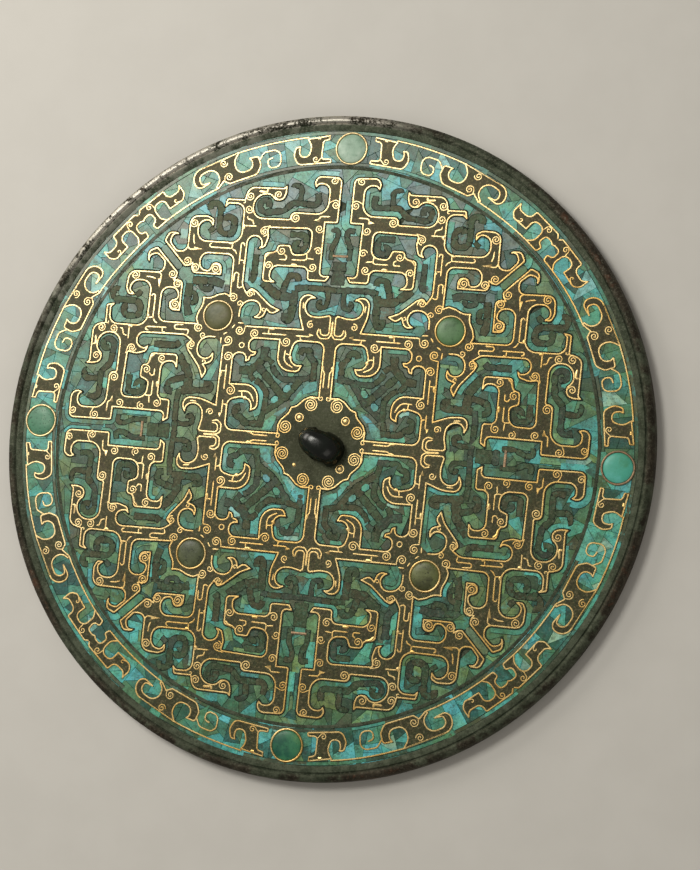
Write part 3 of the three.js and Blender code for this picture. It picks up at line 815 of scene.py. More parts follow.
# ---- Border figures: [degrees from the north roundel's axis, radius, fillet radius] ----
HOOK = [
    [4.2, 98.7, 0.7], [4.3, 97.0, 0.5], [5.5, 96.6, 0.8], [5.9, 91.1, 0.8], [4.0, 91.0, 0.5],
    [3.9, 89.5, 0.5], [11.2, 89.5, 2.2], [12.0, 93.0, 3], [11.2, 95.9, 1.2], [10.0, 95.8],
    [10.35, 94.6, 0.6], [10.4, 92.5, 1.2], [8.9, 92.25, 1.2], [8.05, 95.3, 3], [8.9, 98.1],
]
SCROLL = [
    [22.2, 98.7], [32.7, 98.8, 4.2], [32.6, 91.9, 2.6], [29.2, 92.7], [31.0, 93.5, 0.6],
    [31.35, 96.2, 1.7], [27.35, 96.35, 2.8], [27.6, 91.9, 2.6], [28.95, 90.5], [28.4, 89.55],
    [26.75, 91.0], [25.9, 89.5, 1], [19.7, 89.45, 2.4], [18.5, 92.1, 2], [18.6, 95.6, 1.1], [20.8, 95.75],
    [20.35, 94.5, 0.8], [20.35, 92.0, 1.9], [23.4, 92.0, 2.2], [23.5, 95.9, 3], [22.2, 98.05],
]
CORNER = [
    [45, 97.6], [44.35, 98.75, 1], [38.5, 98.8, 0.8], [38.35, 95.8, 1.6], [36.1, 95.8, 1.4], [35.3, 97.7],
    [34.95, 93.9, 2.4], [36.0, 92.15, 1.4], [39.45, 92.15], [39.45, 96.05, 1.6], [41.85, 96.1, 1.8],
    [41.85, 91.8, 2.2], [40.6, 89.7], [43.9, 89.55, 0.8], [44.25, 91.8, 0.9], [43.0, 92.5, 1],
    [43.2, 95.1, 1.0], [44.4, 95.05, 0.6], [45, 94.5],
]
SMALL_CURL = [
    [16.0, 93.7], [17.1, 93.4, 1.0], [17.3, 90.5, 1.5], [14.75, 90.4, 1.9], [14.2, 96.1, 2.2],
    [17.5, 96.15, 1.8], [18.75, 93.9],
]
BORDER_COILS = [
    (7.25, 91.05, 1.2, 1), (25.5, 91.85, 1.45, 1), (25.65, 96.75, 1.4, 1), (42.55, 97.1, 1.25, -1),
    (37.35, 93.5, 0.85, 1),
]
BORDER_BLOCK = (6.45, 97.7, 1.0, 1.0)  # degrees, radius, length, width
BORDER_ARCS = [(89.9, 28.4, 41.0), (98.35, 8.5, 22.6)]  # wires along the border: radius, from, to


# ---- Bronze ----
def inside(paths, points):
    """Which points lie inside the closed paths, by counting crossings."""
    spots = np.array([(p[0], p[1]) for p in points])
    starts = np.array([(p[0], p[1]) for path in paths for p in path])
    ends = np.array([(p[0], p[1]) for path in paths for p in [*path[1:], path[0]]])
    level = ends[:, 1] == starts[:, 1]
    starts, ends = starts[~level], ends[~level]
    slope = (ends[:, 0] - starts[:, 0]) / (ends[:, 1] - starts[:, 1])
    hits = []
    for batch in np.array_split(spots, len(spots) // 500 + 1):
        x, y = batch[:, :1], batch[:, 1:]
        spans = (starts[:, 1] > y) != (ends[:, 1] > y)
        hits.append((spans & (x < starts[:, 0] + slope * (y - starts[:, 1]))).sum(axis=1) % 2 == 1)
    return np.concatenate(hits)


def plate_faces(outline, spacing=1.7):
    """A flat outline filled with fairly even triangles: its points and its faces."""
    rng = random.Random(11)
    grid = []
    x = min(p[0] for p in outline) + spacing / 2
    while x < max(p[0] for p in outline):
        y = min(p[1] for p in outline) + spacing / 2
        while y < max(p[1] for p in outline):
            grid.append(Vector((x + rng.uniform(-0.3, 0.3), y + rng.uniform(-0.3, 0.3))))
            y += spacing
        x += spacing
    kept = [p for p, is_in in zip(grid, inside([outline], grid)) if is_in]
    points = [Vector(p) for p in outline] + kept
    edges = [(i, (i + 1) % len(outline)) for i in range(len(outline))]
    points, _, faces, _, _, _ = delaunay_2d_cdt(points, edges, [], 0, 1e-4)
    middles = [middle_of([points[i] for i in face]) for face in faces]
    return points, [face for face, is_in in zip(faces, inside([outline], middles)) if is_in]


def raise_plate(piece, outline, placings):
    """Stands a filled outline up from the bed to the strapwork's top, once for each placing."""
    points, faces = plate_faces(outline)
    rim = {}
    for i, j in ((f[k], f[(k + 1) % 3]) for f in faces for k in range(3)):
        rim.pop((j, i)) if (j, i) in rim else rim.setdefault((i, j), True)
    for mirrored, place in placings:
        sheen_side, lower = [], []
        for p in points:
            q = by_hand(place(p))
            dip = 0.02 * wave(q.x * 0.25, q.y * 0.25, 8)
            sheen_side.append((q.x, q.y, ORNAMENT + dip))
            lower.append((q.x, q.y, BED))
        count = len(points)
        walls = [(a, a + count, b + count, b) for a, b in rim]
        caps = [tuple(f) for f in faces]
        if mirrored:
            walls, caps = [w[::-1] for w in walls], [c[::-1] for c in caps]
        piece.add(sheen_side + lower, caps + walls)


def make_strapwork(material, medallion):
    strap, disc, border = Piece(), Piece(), Piece()
    edge, medallion_edge = rounded(CELL), rounded(MEDALLION)
    mouth = Vector((0, ARM[1][1]))
    outer = rounded(CROWN + WINDOW_CORNER + STRAP)
    raise_plate(strap, [mouth] + outer + edge[:len(edge) - len(medallion_edge)], octants())
    raise_plate(disc, [Vector((0, 0)), mouth, Vector(ARM[1])] + medallion_edge, octants())
    for figure in (HOOK, SCROLL):
        raise_plate(border, rounded(from_polar(figure)), octants())
    half = rounded(from_polar(CORNER))
    raise_plate(border, half + swapped(half)[1:-1], [pair for pair in octants() if not pair[0]])
    strap.made("strapwork", material, "bronze")
    disc.made("medallion", medallion, "bronze")
    border.made("border_figures", material, "bronze")


# ---- Gold ----
def curled(x, y, radius, sense, runs):
    """A coil that leaves the nearest outline; far from every outline it stands alone."""
    middle = Vector((x, y))
    gap = min((p for path in runs for p in path), key=lambda p: (p - middle).length_squared) - middle
    start = math.atan2(gap.y, gap.x)
    if not radius < gap.length < radius + 1.5:
        return coil(x, y, radius, start, sense)
    return [middle + gap * (1 - WIRE_INSET / gap.length)] + coil(x, y, radius, start + sense * 0.7, sense)


def each_octant(piece, path, section, taper=0.0):
    for placed in copies(path):
        swept(piece, placed, section, taper=taper)


def make_wires(gold, copper):
    outlines, coils, ticks, border, bar = (Piece() for _ in range(5))
    edge_wire, thin_wire = wire_section(WIRE_WIDTH), wire_section(COIL_WIDTH)
    runs = [rounded(CROWN[1:]), rounded(STRAP), rounded(CELL)]
    for run in runs:
        each_octant(outlines, shifted(run, -WIRE_INSET), edge_wire)
    for x, y, radius, sense in COILS:
        each_octant(coils, curled(x, y, radius, sense, runs), thin_wire)
    for x, y, radius, degrees, sense in DOUBLE_COILS:
        for start in (radians(degrees), radians(degrees + 180)):
            each_octant(coils, coil(x, y, radius, start, sense, COIL_PITCH * 1.9), thin_wire)
    each_octant(coils, as_vectors(COIL_LINK), thin_wire)
    for width, stops in TICKS:
        each_octant(ticks, rounded(stops), wire_section(width), taper=0.4)
    hook, scroll, corner = (rounded(from_polar(figure)) for figure in (HOOK, SCROLL, CORNER))
    for path in (hook, scroll):
        line = shifted(path, math.copysign(WIRE_INSET, signed_area(path)), closed=True)
        each_octant(border, line + line[:2], edge_wire)
    each_octant(border, shifted(corner, WIRE_INSET), edge_wire)
    for line in [rounded(from_polar(SMALL_CURL))] + [ring_arc(*arc) for arc in BORDER_ARCS]:
        each_octant(border, line, edge_wire)
    for degrees, r, radius, sense in BORDER_COILS:
        x, y = from_polar([[degrees, r]])[0]
        each_octant(coils, curled(x, y, radius, sense, [hook, scroll, corner]), thin_wire)
    degrees, r, length, width = BORDER_BLOCK
    half = math.degrees(length / 2 / r)
    block = as_vectors(from_polar([[degrees - half, r], [degrees + half, r]]))
    each_octant(ticks, block, wire_section(width))
    for tip, foot, width in WEDGES:
        for _, place in octants():
            raise_wedge(ticks, place(tip), place(foot), width)
    make_rings(ticks, thin_wire)
    for turn in TURNS:
        swept(bar, [turn @ Vector((-AXIS_BAR[0], AXIS_BAR[1])), turn @ Vector(AXIS_BAR)], wire_section(0.8))
    outlines.made("gold_outlines", gold, "gold")
    coils.made("gold_coils", gold, "gold")
    ticks.made("gold_ticks", gold, "gold")
    border.made("gold_border_lines", gold, "gold")
    bar.made("copper_bars", copper, "gold")


def raise_wedge(piece, tip, foot, width):
    """A small pointed stud of gold with a bevelled edge."""
    side = Vector((foot.y - tip.y, tip.x - foot.x)).normalized() * width / 2
    corners = [tip, foot + side, foot - side]
    if signed_area(corners) < 0:
        corners.reverse()
    middle = middle_of(corners)
    rings = [[(*by_hand(middle.lerp(corner, share)), z) for corner in corners]
             for share, z in ((1, ORNAMENT - 0.2), (1, ORNAMENT + 0.02), (0.75, ORNAMENT + WIRE_RISE))]
    lofted(piece, rings, close_ends=True)


def make_rings(piece, section):
    """Small rings and the rings with dots; the south-west ring is lost, and only its dot is left."""
    lost_quarter = 2
    dot_profile = [(1, -0.2), (1, 0.03), (0.6, 0.14), (0.2, 0.17)]
    x, y, ring, dot = RING_DOT
    for quarter, turn in enumerate(TURNS):
        lost = quarter == lost_quarter
        for cx, cy, radius in RINGS + ([] if lost else [(x, y, ring - COIL_WIDTH / 2)]):
            swept(piece, [turn @ spoke(cx, cy, radius, 2 * pi * i / 20) for i in range(21)], section)
        size = dot * 0.8 if lost else dot
        middle = by_hand(turn @ Vector((x, y)))
        rings = [[(*spoke(*middle, size * share, 2 * pi * i / 14), ORNAMENT + rise) for i in range(14)]
                 for share, rise in dot_profile]
        lofted(piece, rings, close_ends=True)


# ---- Tesserae ----
FIELD_STONE, BORDER_STONE = 25.0, 24.0  # mm2: about where the breaking of a stone ends
FIRST_CELL = 15.0  # across the large cells that are broken into stones
FIELD_SPAN = FIELD_RADIUS + 1.2  # half the square that the large cells fill
FIELD_CUT = FIELD_RADIUS + 0.9  # the outer stones are cut back to this circle
STONE_GAP = 0.035  # from a stone's edge to the joint's middle
WORN_EDGE, EDGE_DROP = 0.09, 0.07  # the width and depth of a stone's worn edge
LEAST_STONE = 0.4  # mm2: anything smaller is left to the mastic


def cut(polygon, point, normal):
    """The part of a convex polygon behind a line."""
    kept = []
    sides = [(p - point).dot(normal) for p in polygon]
    for i, here in enumerate(polygon):
        j = (i + 1) % len(polygon)
        if sides[i] <= 0:
            kept.append(here)
        if (sides[i] < 0 < sides[j]) or (sides[j] < 0 < sides[i]):
            kept.append(here.lerp(polygon[j], sides[i] / (sides[i] - sides[j])))
    return kept


def cells_round(seeds, box, reach):
    """The share of the box that is nearest to each seed."""
    for seed in seeds:
        polygon = [Vector(c) for c in box]
        for other in seeds:
            gap = other - seed
            if 0 < gap.length < reach and polygon:
                polygon = cut(polygon, (seed + other) / 2, gap.normalized())
        if len(polygon) > 2:
            yield polygon


def broken(polygon, size, rng):
    """Splits a convex stone across its length until every piece is small enough."""
    if abs(signed_area(polygon)) < size * rng.uniform(0.75, 1.9) or len(polygon) < 3:
        return [polygon]
    middle = middle_of(polygon)
    far = max(((a - b) for a in polygon for b in polygon), key=lambda v: v.length_squared)
    normal = far.normalized()
    normal.rotate(Matrix.Rotation(rng.gauss(0, 0.32), 2))
    point = middle + Vector((rng.uniform(-0.5, 0.5), rng.uniform(-0.5, 0.5)))
    halves = [cut(polygon, point, normal), cut(polygon, point, -normal)]
    return [piece for half in halves if len(half) > 2 for piece in broken(half, size, rng)]


def shrunk(polygon, gap):
    """A convex polygon with every side moved in by the gap; nothing if none of it is left."""
    out = polygon
    turn = 1 if signed_area(polygon) > 0 else -1
    for a, b in zip(polygon, polygon[1:] + polygon[:1]):
        side = b - a
        if side.length < 1e-4:
            continue
        normal = Vector((side.y, -side.x)).normalized() * turn
        out = cut(out, a - normal * gap, normal)
        if len(out) < 3:
            return []
    return out


def trimmed(stone, radius):
    """A stone cut back to a circle about the mirror's middle."""
    if max(p.length_squared for p in stone) ** 0.5 < radius:
        return stone
    out = middle_of(stone).normalized()
    return cut(stone, out * radius, out)


def lay_tile(piece, polygon, tint, rng, lift=0.0):
    """One tessera: a slightly tilted top with worn edges, and sides down into the mastic."""
    foot = shrunk(polygon, STONE_GAP)
    if len(foot) < 3 or abs(signed_area(foot)) < LEAST_STONE:
        return
    if signed_area(foot) < 0:
        foot.reverse()
    middle = middle_of(foot)
    tilt = Vector((rng.gauss(0, 0.006), rng.gauss(0, 0.006)))
    level = TILE_TOP + lift + rng.uniform(-0.05, 0.02)

    def at(p, drop):
        return (p.x, p.y, level + tilt.dot(p - middle) - drop)

    inner = [middle.lerp(p, max(0.5, 1 - WORN_EDGE / max(0.2, (p - middle).length))) for p in foot]
    rings = [[(p.x, p.y, BED) for p in foot], [at(p, EDGE_DROP) for p in foot], [at(p, 0) for p in inner]]
    lofted(piece, rings, tint=tint)
    piece.add([], [tuple(range(-len(foot), 0))], tint)  # the top: the points added last


BRIGHT_BLUE, TURQUOISE, PALE = (0.110, 0.470, 0.475), (0.095, 0.450, 0.385), (0.290, 0.560, 0.490)
MALACHITE, DEEP_GREEN, LEAF = (0.085, 0.205, 0.095), (0.045, 0.100, 0.050), (0.185, 0.345, 0.145)
SEA_GREEN, DEEP_TEAL, GREY_GREEN = (0.075, 0.270, 0.170), (0.020, 0.110, 0.088), (0.086, 0.110, 0.060)
BLUE_GREY, SAGE = (0.165, 0.255, 0.260), (0.145, 0.245, 0.105)
BAND_GREY, BAND_GREEN, BAND_BLUE = (0.056, 0.064, 0.034), (0.040, 0.078, 0.040), (0.036, 0.066, 0.056)
# Stones in shares: the ground of each place, the brighter strips along the gold, and the dark bands.
BORDER_GROUND = [
    (BRIGHT_BLUE, 3), (TURQUOISE, 7), (PALE, 2), (SEA_GREEN, 6), (MALACHITE, 3), (DEEP_TEAL, 3),
]
CELL_GROUND = [(DEEP_GREEN, 6), (GREY_GREEN, 5), (MALACHITE, 4), (DEEP_TEAL, 3), (SEA_GREEN, 2)]
NORTH_GROUND = [
    (SEA_GREEN, 3), (BLUE_GREY, 5), (DEEP_TEAL, 2), (BRIGHT_BLUE, 3), (TURQUOISE, 3), (GREY_GREEN, 1),
]
GREEN_GROUND = [
    (SAGE, 3), (MALACHITE, 6), (DEEP_GREEN, 6), (SEA_GREEN, 3), (LEAF, 2), (DEEP_TEAL, 3), (GREY_GREEN, 2),
    (TURQUOISE, 0.5),
]
STRIPS = [(TURQUOISE, 8), (BRIGHT_BLUE, 3), (SEA_GREEN, 6), (PALE, 1)]
GREEN_STRIPS = [(SEA_GREEN, 6), (MALACHITE, 5), (LEAF, 3), (TURQUOISE, 3)]
RIM_STRIPS = [(GREY_GREEN, 5), (SEA_GREEN, 4), (TURQUOISE, 2), (DEEP_GREEN, 4)]
BAND_SHARES = [(BAND_GREY, 5), (BAND_GREEN, 6), (BAND_BLUE, 2)]
NORTH_BAND_SHARES = [(BAND_BLUE, 6), (BAND_GREY, 3), (BAND_GREEN, 2)]
CELL_REACH = 34  # the enclosed cells lie in a square this far out


def picked(shares, p, rng, spread=1.0):
    """A tint from the shares; neighbours tend to match, because a slow drift chooses most of it."""
    drift = 0.5 + 1.1 * wave(p.x * 0.055, p.y * 0.055, 17)
    place = min(0.999, max(0.0, drift + rng.gauss(0, 0.30 * spread))) * sum(weight for _, weight in shares)
    chosen = shares[-1][0]
    for colour, weight in shares:
        place -= weight
        if place < 0:
            chosen = colour
            break
    lift = rng.uniform(0.78, 1.18)
    return tuple(lift * v for v in chosen)


def varied(tint, rng):
    return tuple(v * rng.uniform(0.85, 1.1) for v in tint)


def tile_tint(p, rng):
    if math.hypot(p.x, p.y) > RING_OUTER:
        return picked(BORDER_GROUND, p, rng, 1.6)
    if max(abs(p.x), abs(p.y)) < CELL_REACH:
        return picked(CELL_GROUND, p, rng)
    return picked(NORTH_GROUND if p.y > abs(p.x) * 0.9 else GREEN_GROUND, p, rng)


def make_tiles(material):
    rng = random.Random(4)
    outer, edge = rounded(CROWN + WINDOW_CORNER + STRAP), rounded(CELL)
    quarter, cell = outer + swapped(outer)[1:-1], edge + swapped(edge)[1:-1]
    network = [by_hand(turn @ p) for turn in TURNS for p in quarter]
    bronze = [network] + [[by_hand(turn @ p) for p in cell] for turn in TURNS]

    corners = [(x * FIELD_SPAN, y * FIELD_SPAN) for x, y in ((-1, -1), (1, -1), (1, 1), (-1, 1))]
    steps = range(int(2 * FIELD_SPAN / FIRST_CELL) + 2)
    seeds = [Vector((-FIELD_SPAN + (i + rng.uniform(0.1, 0.9)) * FIRST_CELL,
                     -FIELD_SPAN + (j + rng.uniform(0.1, 0.9)) * FIRST_CELL)) for i in steps for j in steps]
    stones = [stone for large in cells_round(seeds, corners, FIRST_CELL * 3.2)
              for stone in broken(large, FIELD_STONE, rng)]
    stones = [s for s in (trimmed(stone, FIELD_CUT) for stone in stones) if len(s) > 2]
    middles = [middle_of(stone) for stone in stones]
    owners = [i for i, stone in enumerate(stones) for _ in stone]
    hidden = inside(bronze, [p for stone in stones for p in stone])
    showing = {i for i, covered in zip(owners, hidden) if not covered}
    field = Piece()
    for i, (stone, middle, covered) in enumerate(zip(stones, middles, inside(bronze, middles))):
        if middle.length < FIELD_RADIUS + 0.6 and (not covered or i in showing):
            lay_tile(field, stone, tile_tint(middle, rng), rng)
    field.made("tesserae_field", material, "turquoise", replaces=(
        "turquoise_field", "turquoise_cell_northeast", "turquoise_cell_southeast",
        "turquoise_cell_southwest", "turquoise_cell_northwest"), sharp=25)

    border = Piece()
    low, high, angle = RING_OUTER - 0.25, BORDER_OUTER + 0.3, 0.0
    while angle < 2 * pi - 0.03:
        wide = min(rng.uniform(4.0, 9.0) / high, 2 * pi - angle)
        sector = [spoke(0, 0, r, t) for r, t in
                  ((low, angle), (high, angle), (high, angle + wide), (low, angle + wide))]
        for stone in broken(sector, BORDER_STONE, rng):
            lay_tile(border, stone, tile_tint(middle_of(stone), rng), rng)
        angle += wide
    border.made("tesserae_border", material, "turquoise", sharp=25)


# ---- Strips, bands and single stones ----
STRIP_JOINT, BAND_JOINT, STONE_JOINT = 0.34, 0.40, 0.50  # how much wider the dark joint under each one is
STRIP_OFFSET = 0.30  # from the gold's line to the strip beside it
STRIP_WIDTHS = (0.9, 1.2, 1.5, 2.0, 2.6)
STRIP_RUNS = ((CROWN, 0.5), (STRAP, 0.48), (CELL, 0.62))  # each outline, and the share of it that has strips
RIM_RUNS = ((BORDER_OUTER - 0.62, 1.05), (RING_OUTER + 0.55, 0.9))  # radius and width along the border
GOLD_JOINT, GOLD_JOINT_SHIFT = 0.56, 0.10  # the dark line beside the gold
NORTH_BANDS_FROM = 35  # y from which the bands are bluer
MEDALLION_NEAR = 30  # single stones that start within this are bright
RAGGED = 0.35


def lengths_of(path, rng, shortest, longest, laid):
    """Cuts a path into stone lengths, of which a share is laid; a full share leaves no rest over."""
    part, want, run = [path[0]], rng.uniform(shortest, longest), 0.0
    for a, b in zip(path, path[1:]):
        run += (b - a).length
        part.append(b)
        if run >= want:
            if rng.random() < laid and len(part) > 1:
                yield part
            part, want, run = [b], rng.uniform(shortest, longest), 0.0
    if len(part) > 1 and (run > shortest or laid == 1) and rng.random() < laid:
        yield part


def lies_flat(path, beside, width):
    """Whether a strip beside a path neither turns sharply nor folds over itself."""
    if len(path) < 3:
        return False
    for a, b, c, d in zip(path, path[1:], beside, beside[1:]):
        if (b - a).dot(d - c) < 0.55 * (b - a).length_squared:
            return False
    for a, b, c in zip(beside, beside[1:], beside[2:]):
        if (b - a).length < 1e-3 or (c - b).length < 1e-3 or (b - a).angle(c - b) > radians(38):
            return False
    return (beside[-1] - beside[0]).length > width * 0.8


def make_strips(material, joints):
    """Narrow bright stones that follow the gold round every figure, and the grey-green edge strips."""
    rng = random.Random(21)
    strips = Piece()

    def lay(path, width, shares, level):
        swept(joints, path, strip_section(width + STRIP_JOINT, level - 0.012, 0.04))
        tint = picked(shares, path[len(path) // 2], rng, 1.5)
        swept(strips, path, strip_section(width, level), tint=tint)

    for run, laid in STRIP_RUNS:
        line = evenly(rounded(run))
        for _, place in octants():
            for part in lengths_of(line, rng, 2.5, 9.0, laid):
                width = rng.choice(STRIP_WIDTHS)
                beside = shifted(part, STRIP_OFFSET + width / 2)
                if not lies_flat(part, beside, width):
                    continue
                edge = [place(p) for p in beside]
                here = edge[len(edge) // 2]
                bright = max(abs(here.x), abs(here.y)) < CELL_REACH or here.y > abs(here.x) * 0.8
                shares = STRIPS if bright or rng.random() < 0.15 else GREEN_STRIPS
                lay(edge, width, shares, TILE_TOP + rng.uniform(0.025, 0.035))
    for radius, width in RIM_RUNS:
        for part in lengths_of(evenly(ring_arc(radius, 0, 360), 3.0), rng, 5, 15, 0.86):
            lay(part, width, RIM_STRIPS, TILE_TOP + 0.03)
    strips.made("edge_strips", material, "turquoise", sharp=25)


def make_bands(band, mastic, tiles):
    """Dark strips laid among the tesserae, each in a dark joint, and bright single stones."""
    strips, joints, bright = Piece(), Piece(), Piece()
    rng = random.Random(8)
    make_strips(tiles, joints)
    for width, stops in BANDS:
        for placed in copies(evenly(rounded(stops), 0.8)):
            lift = rng.uniform(-0.012, 0.012)
            swept(joints, placed, strip_section(width + BAND_JOINT, TILE_TOP + 0.045 + lift), ragged=RAGGED)
            for part in lengths_of(placed, rng, 2.5, 8.0, 1.0):
                middle = part[len(part) // 2]
                section = strip_section(width, BAND_TOP + lift + rng.uniform(-0.012, 0.002))
                to_north = middle.y > NORTH_BANDS_FROM and middle.y > abs(middle.x)
                tint = picked(NORTH_BAND_SHARES if to_north else BAND_SHARES, middle, rng)
                swept(strips, part, section, taper=0.3, ragged=RAGGED, tint=tint)
    for width, stops in BRIGHT:
        for placed in copies(rounded(stops)):
            swept(joints, placed, strip_section(width + STONE_JOINT, TILE_TOP + 0.05))
            near = placed[0].length < MEDALLION_NEAR
            choice = (TURQUOISE, BRIGHT_BLUE, TURQUOISE) if near else (SEA_GREEN, SAGE, MALACHITE)
            tint = varied(rng.choice(choice), rng)
            swept(bright, placed, strip_section(width, BAND_TOP + 0.02), taper=0.6, ragged=0.3, tint=tint)
    for outline in SHARDS:
        for placed in copies(outline):
            lay_tile(bright, placed, varied(rng.choice((TURQUOISE, BRIGHT_BLUE)), rng), rng, lift=0.10)
    for run in (rounded(CROWN), rounded(STRAP), rounded(CELL)):
        each_octant(joints, shifted(run, GOLD_JOINT_SHIFT), strip_section(GOLD_JOINT, TILE_TOP + 0.07, 0.04))
    strips.made("dark_bands", band, "turquoise")
    joints.made("mastic_joints", mastic, "bronze")
    bright.made("bright_stones", tiles, "turquoise")


# ---- Plate, lip and knob ----
# The plate's profile as radius and height, drawn for this radius and this height of the strapwork.
PLATE_RADIUS, PLATE_ORNAMENT = 105.0, 5.0
UNDERSIDE = [(30, 0), (60, 0), (88, 0), (100, 0), (103.2, 0)]
EDGE = [(104.2, 0.18), (104.75, 0.65), (105.0, 1.3), (105.0, 2.6), (104.95, 3.7), (104.75, 4.55)]
LIP = [
    (104.4, 5.12), (104.0, 5.42), (103.5, 5.62), (103.0, 5.66), (102.6, 5.5), (102.32, 5.15),
    (102.18, 4.95),
]
SLOPE = [
    (102.02, 5.02), (101.8, 5.28), (101.3, 5.27), (100.7, 5.16), (100.15, 5.04), (99.9, 4.95), (99.82, 4.6),
]
BORDER_BED = [(99.6, 4.58), (94, 4.58), (88.8, 4.58), (88.52, 4.62)]
THIN_RING = [(88.45, 4.97), (88.2, 5.03), (87.95, 4.98), (87.7, 5.03), (87.45, 4.97), (87.38, 4.6)]
FIELD_BED = [(80, 4.56), (60, 4.56), (30, 4.56)]


def worn_place(r, z, radius, c, s):
    """Dents the lip, the slope and the thin ring a little; c and s give the place round the plate."""
    spot = Vector((c * 12, s * 12, radius * 0.6))
    if 102.3 < radius < 105.1 and z > 2.5:
        dent = wave(*spot * 3.0) * 0.07 + wave(*spot * 9.0) * 0.05
        return min(RADIUS, r - abs(dent) * 0.6), dent - 0.05
    if 100 < radius < 102.3:
        return r, wave(*spot * 2.0) * 0.05
    if 87.2 < radius < 88.6:
        return r + wave(c * 6, s * 6, 2) * 0.12, wave(*spot * 2.0) * 0.03
    return r, 0.0


def make_plate(material):
    """The casting's plate: polished underside, edge, worn lip, inner slope, thin ring and dark bed."""
    sides = 288
    plate, rings = Piece(), []
    for radius, height in UNDERSIDE + EDGE + LIP + SLOPE + BORDER_BED + THIN_RING + FIELD_BED:
        ring = []
        for i in range(sides):
            angle = 2 * pi * i / sides
            c, s = cos(angle), sin(angle)
            lift = (ORNAMENT - PLATE_ORNAMENT) * (height > 3.6)
            r, dent = worn_place(radius * RADIUS / PLATE_RADIUS, height, radius, c, s)
            ring.append((r * c, r * s, height + lift + dent))
        rings.append(ring)
    lofted(plate, rings)
    last = (len(rings) - 1) * sides
    below = len(plate.points)
    plate.points += [(0, 0, 0), (0, 0, FIELD_BED[-1][1] + ORNAMENT - PLATE_ORNAMENT)]
    for i in range(sides):
        j = (i + 1) % sides
        plate.faces += [(below, j, i), (below + 1, last + i, last + j)]
        plate.tints += [None, None]
    plate.made("cast_plate", material, "bronze", replaces=("mirror_disc",))


KNOB_MIDDLE = (0.7, -0.7)
KNOB_LENGTH, KNOB_WIDTH = 15.6, 10.2
KNOB_TURN = radians(-26)
KNOB_FULLER, KNOB_SQUARER = 0.14, 0.05  # more at the east end, and at the four corners
CORD_HALF, CORD_TOP, CORD_CROWN = 2.4, 4.4, 0.9  # half the hole's width, its top, its corners' radius


def knob_shape():
    """A bean shape, fuller at its east end, steep-sided and low-crowned."""
    cx, cy = KNOB_MIDDLE
    root, height = ORNAMENT - 0.5, KNOB_TOP - ORNAMENT + 0.5
    levels, sides = 20, 72
    knob, rings = Piece(), []
    for k in range(levels):
        angle = QUARTER * k / levels
        spread, z = cos(angle) ** 0.72, root + height * sin(angle) ** 0.92
        ring = []
        for i in range(sides):
            a = 2 * pi * i / sides
            square = 1 + KNOB_SQUARER * sin(2 * a) ** 2
            u = spread * KNOB_LENGTH / 2 * cos(a) * square
            v = spread * KNOB_WIDTH / 2 * sin(a) * square * (1 + KNOB_FULLER * cos(a) * spread)
            rough = 1 + 0.025 * wave(u * 0.3, v * 0.3, z * 0.3)
            x = u * cos(KNOB_TURN) - v * sin(KNOB_TURN)
            y = u * sin(KNOB_TURN) + v * cos(KNOB_TURN)
            ring.append((cx + x * rough, cy + y * rough, z))
        rings.append(ring)
    lofted(knob, rings, close_ends=True)
    return knob


def make_knob(material):
    """The knob, pierced along y for a cord by a hole with a rounded top."""
    piece = knob_shape().made("knob", material, "bronze", sharp=60)
    cx, cy = KNOB_MIDDLE
    arch = [(-CORD_HALF, ORNAMENT - 2), (CORD_HALF, ORNAMENT - 2)]
    for side in (1, -1):
        for k in range(7):
            a = QUARTER * k / 6 + (QUARTER if side < 0 else 0)
            arch.append((side * (CORD_HALF - CORD_CROWN) + CORD_CROWN * cos(a),
                         ORNAMENT + CORD_TOP - CORD_CROWN + CORD_CROWN * sin(a)))
    cutter = Piece()
    lofted(cutter, [[(cx + x, cy + y, z) for x, z in arch] for y in (-11, 11)], close_ends=True, flip=True)
    tool = in_scene("cord_hole", mesh_of("cord_hole", cutter.points, cutter.faces))
    bore = piece.modifiers.new("cord_hole", "BOOLEAN")
    bore.operation = "DIFFERENCE"
    bore.object = tool
    bore.solver = "EXACT"
    bpy.context.view_layer.update()
    carved = bpy.data.meshes.new_from_object(piece.evaluated_get(bpy.context.evaluated_depsgraph_get()))
    piece.modifiers.clear()
    piece.data = carved
    bpy.data.objects.remove(tool)
    carved.shade_smooth()
    carved.set_sharp_from_angle(angle=radians(45))


# ---- Roundels ----
# Each stone's dark, middle and light tone, and how worn its skin is.
STONES = {
    "north": ((0.16, 0.27, 0.19), (0.28, 0.42, 0.32), (0.42, 0.55, 0.45), 0.2),
    "northeast": ((0.055, 0.12, 0.05), (0.105, 0.21, 0.095), (0.15, 0.27, 0.13), 0.35),
    "east": ((0.06, 0.27, 0.16), (0.07, 0.36, 0.27), (0.10, 0.42, 0.36), 0.1),
    "southeast": ((0.05, 0.055, 0.02), (0.11, 0.125, 0.045), (0.16, 0.18, 0.075), 0.9),
    "south": ((0.012, 0.085, 0.055), (0.035, 0.17, 0.085), (0.095, 0.25, 0.10), 0.35),
    "southwest": ((0.035, 0.045, 0.02), (0.07, 0.085, 0.04), (0.11, 0.125, 0.065), 0.75),
    "west": ((0.05, 0.16, 0.09), (0.09, 0.24, 0.15), (0.17, 0.33, 0.22), 0.8),
    "northwest": ((0.075, 0.085, 0.035), (0.13, 0.13, 0.058), (0.17, 0.15, 0.10), 0.25),
}
COLLAR_WIDTH, COLLAR_TOP, COLLAR_ROUND = 0.7, ORNAMENT + 0.38, 0.3
STONE_GAP_ROUND = 0.05  # between a stone and its collar
STONE_FOOT, STONE_RISE = ORNAMENT + 0.02, 0.62


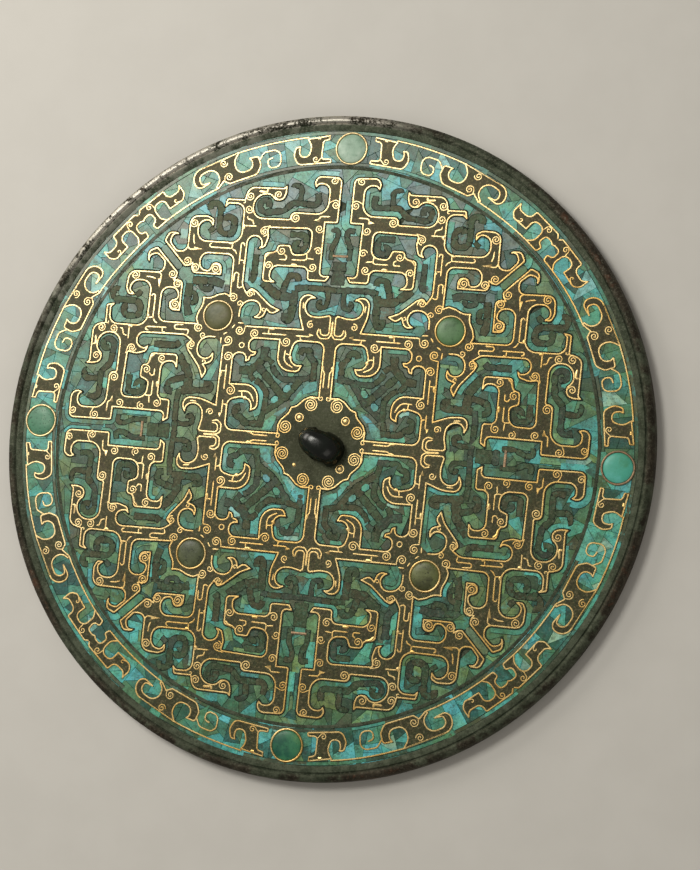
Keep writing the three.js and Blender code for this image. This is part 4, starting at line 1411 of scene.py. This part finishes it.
def turned_ring(cx, cy, profile, sides, wobble, seed):
    """The rings of a turned shape from its (radius, z) profile, a little out of true."""
    rings = []
    for radius, z in profile:
        ring = []
        for i in range(sides):
            a = 2 * pi * i / sides
            c, s = cos(a), sin(a)
            r = radius + wobble * wave(c * 1.5, s * 1.5, seed)
            lift = wobble * 0.5 * wave(c * 2, s * 2, seed + radius)
            ring.append((cx + r * c, cy + r * s, z + lift * (radius > 1)))
        rings.append(ring)
    return rings


def make_roundels(gold, copper):
    for seed, (name, (dark, middle, light, pits)) in enumerate(STONES.items()):
        low, high = box_mm("collar_" + name)
        cx, cy = (low[0] + high[0]) / 2, (low[1] + high[1]) / 2
        outer = (high[1] - low[1]) / 2
        inner = outer - COLLAR_WIDTH
        mid, half = (outer + inner) / 2, (outer - inner) / 2
        shoulder = COLLAR_TOP - COLLAR_ROUND
        crown = [(mid + half * cos(a) * 0.97, shoulder + COLLAR_ROUND * sin(a)) for a in
                 (pi * k / 6 for k in range(1, 6))]
        section = [(inner, BED), (outer - 0.02, BED), (outer - 0.02, shoulder), *crown, (inner, shoulder),
                   (inner, BED)]
        collar, stone = Piece(), Piece()
        lofted(collar, turned_ring(cx, cy, section, 72, 0.05, seed))
        collar.made("roundel_collar_" + name, copper if name == "east" else gold, "gold",
                    replaces=("collar_" + name,), sharp=50)
        radius = inner - STONE_GAP_ROUND
        dome = [(radius, BED)]
        for k in range(12):
            a = QUARTER * k / 12
            reach = radius * cos(a) ** 0.7 if k < 11 else 0.05
            dome.append((reach, STONE_FOOT + STONE_RISE * sin(a)))
        lofted(stone, turned_ring(cx, cy, dome, 64, 0.03, seed + 20), close_ends=True)
        stone.made("roundel_stone_" + name, stone_finish(name, dark, middle, light, pits), "stone",
                   replaces=("stone_" + name,), sharp=60)


def make_floor():
    half, z = 3000, -0.02
    corners = [(-half, -half, z), (half, -half, z), (half, half, z), (-half, half, z)]
    mesh = mesh_of("table", corners, [(0, 1, 2, 3)])
    mesh.materials.append(floor_finish())
    in_scene("table", mesh)


make_camera()
make_floor()
make_lights()
gold, copper, mastic, tesserae = gold_finish(), copper_finish(), mastic_finish(), tile_finish()
make_plate(plate_finish())
make_strapwork(bronze_finish(), medallion_finish())
make_tiles(tesserae)
make_bands(band_finish(), mastic, tesserae)
make_wires(gold, copper)
make_roundels(gold, copper)
make_knob(knob_finish())
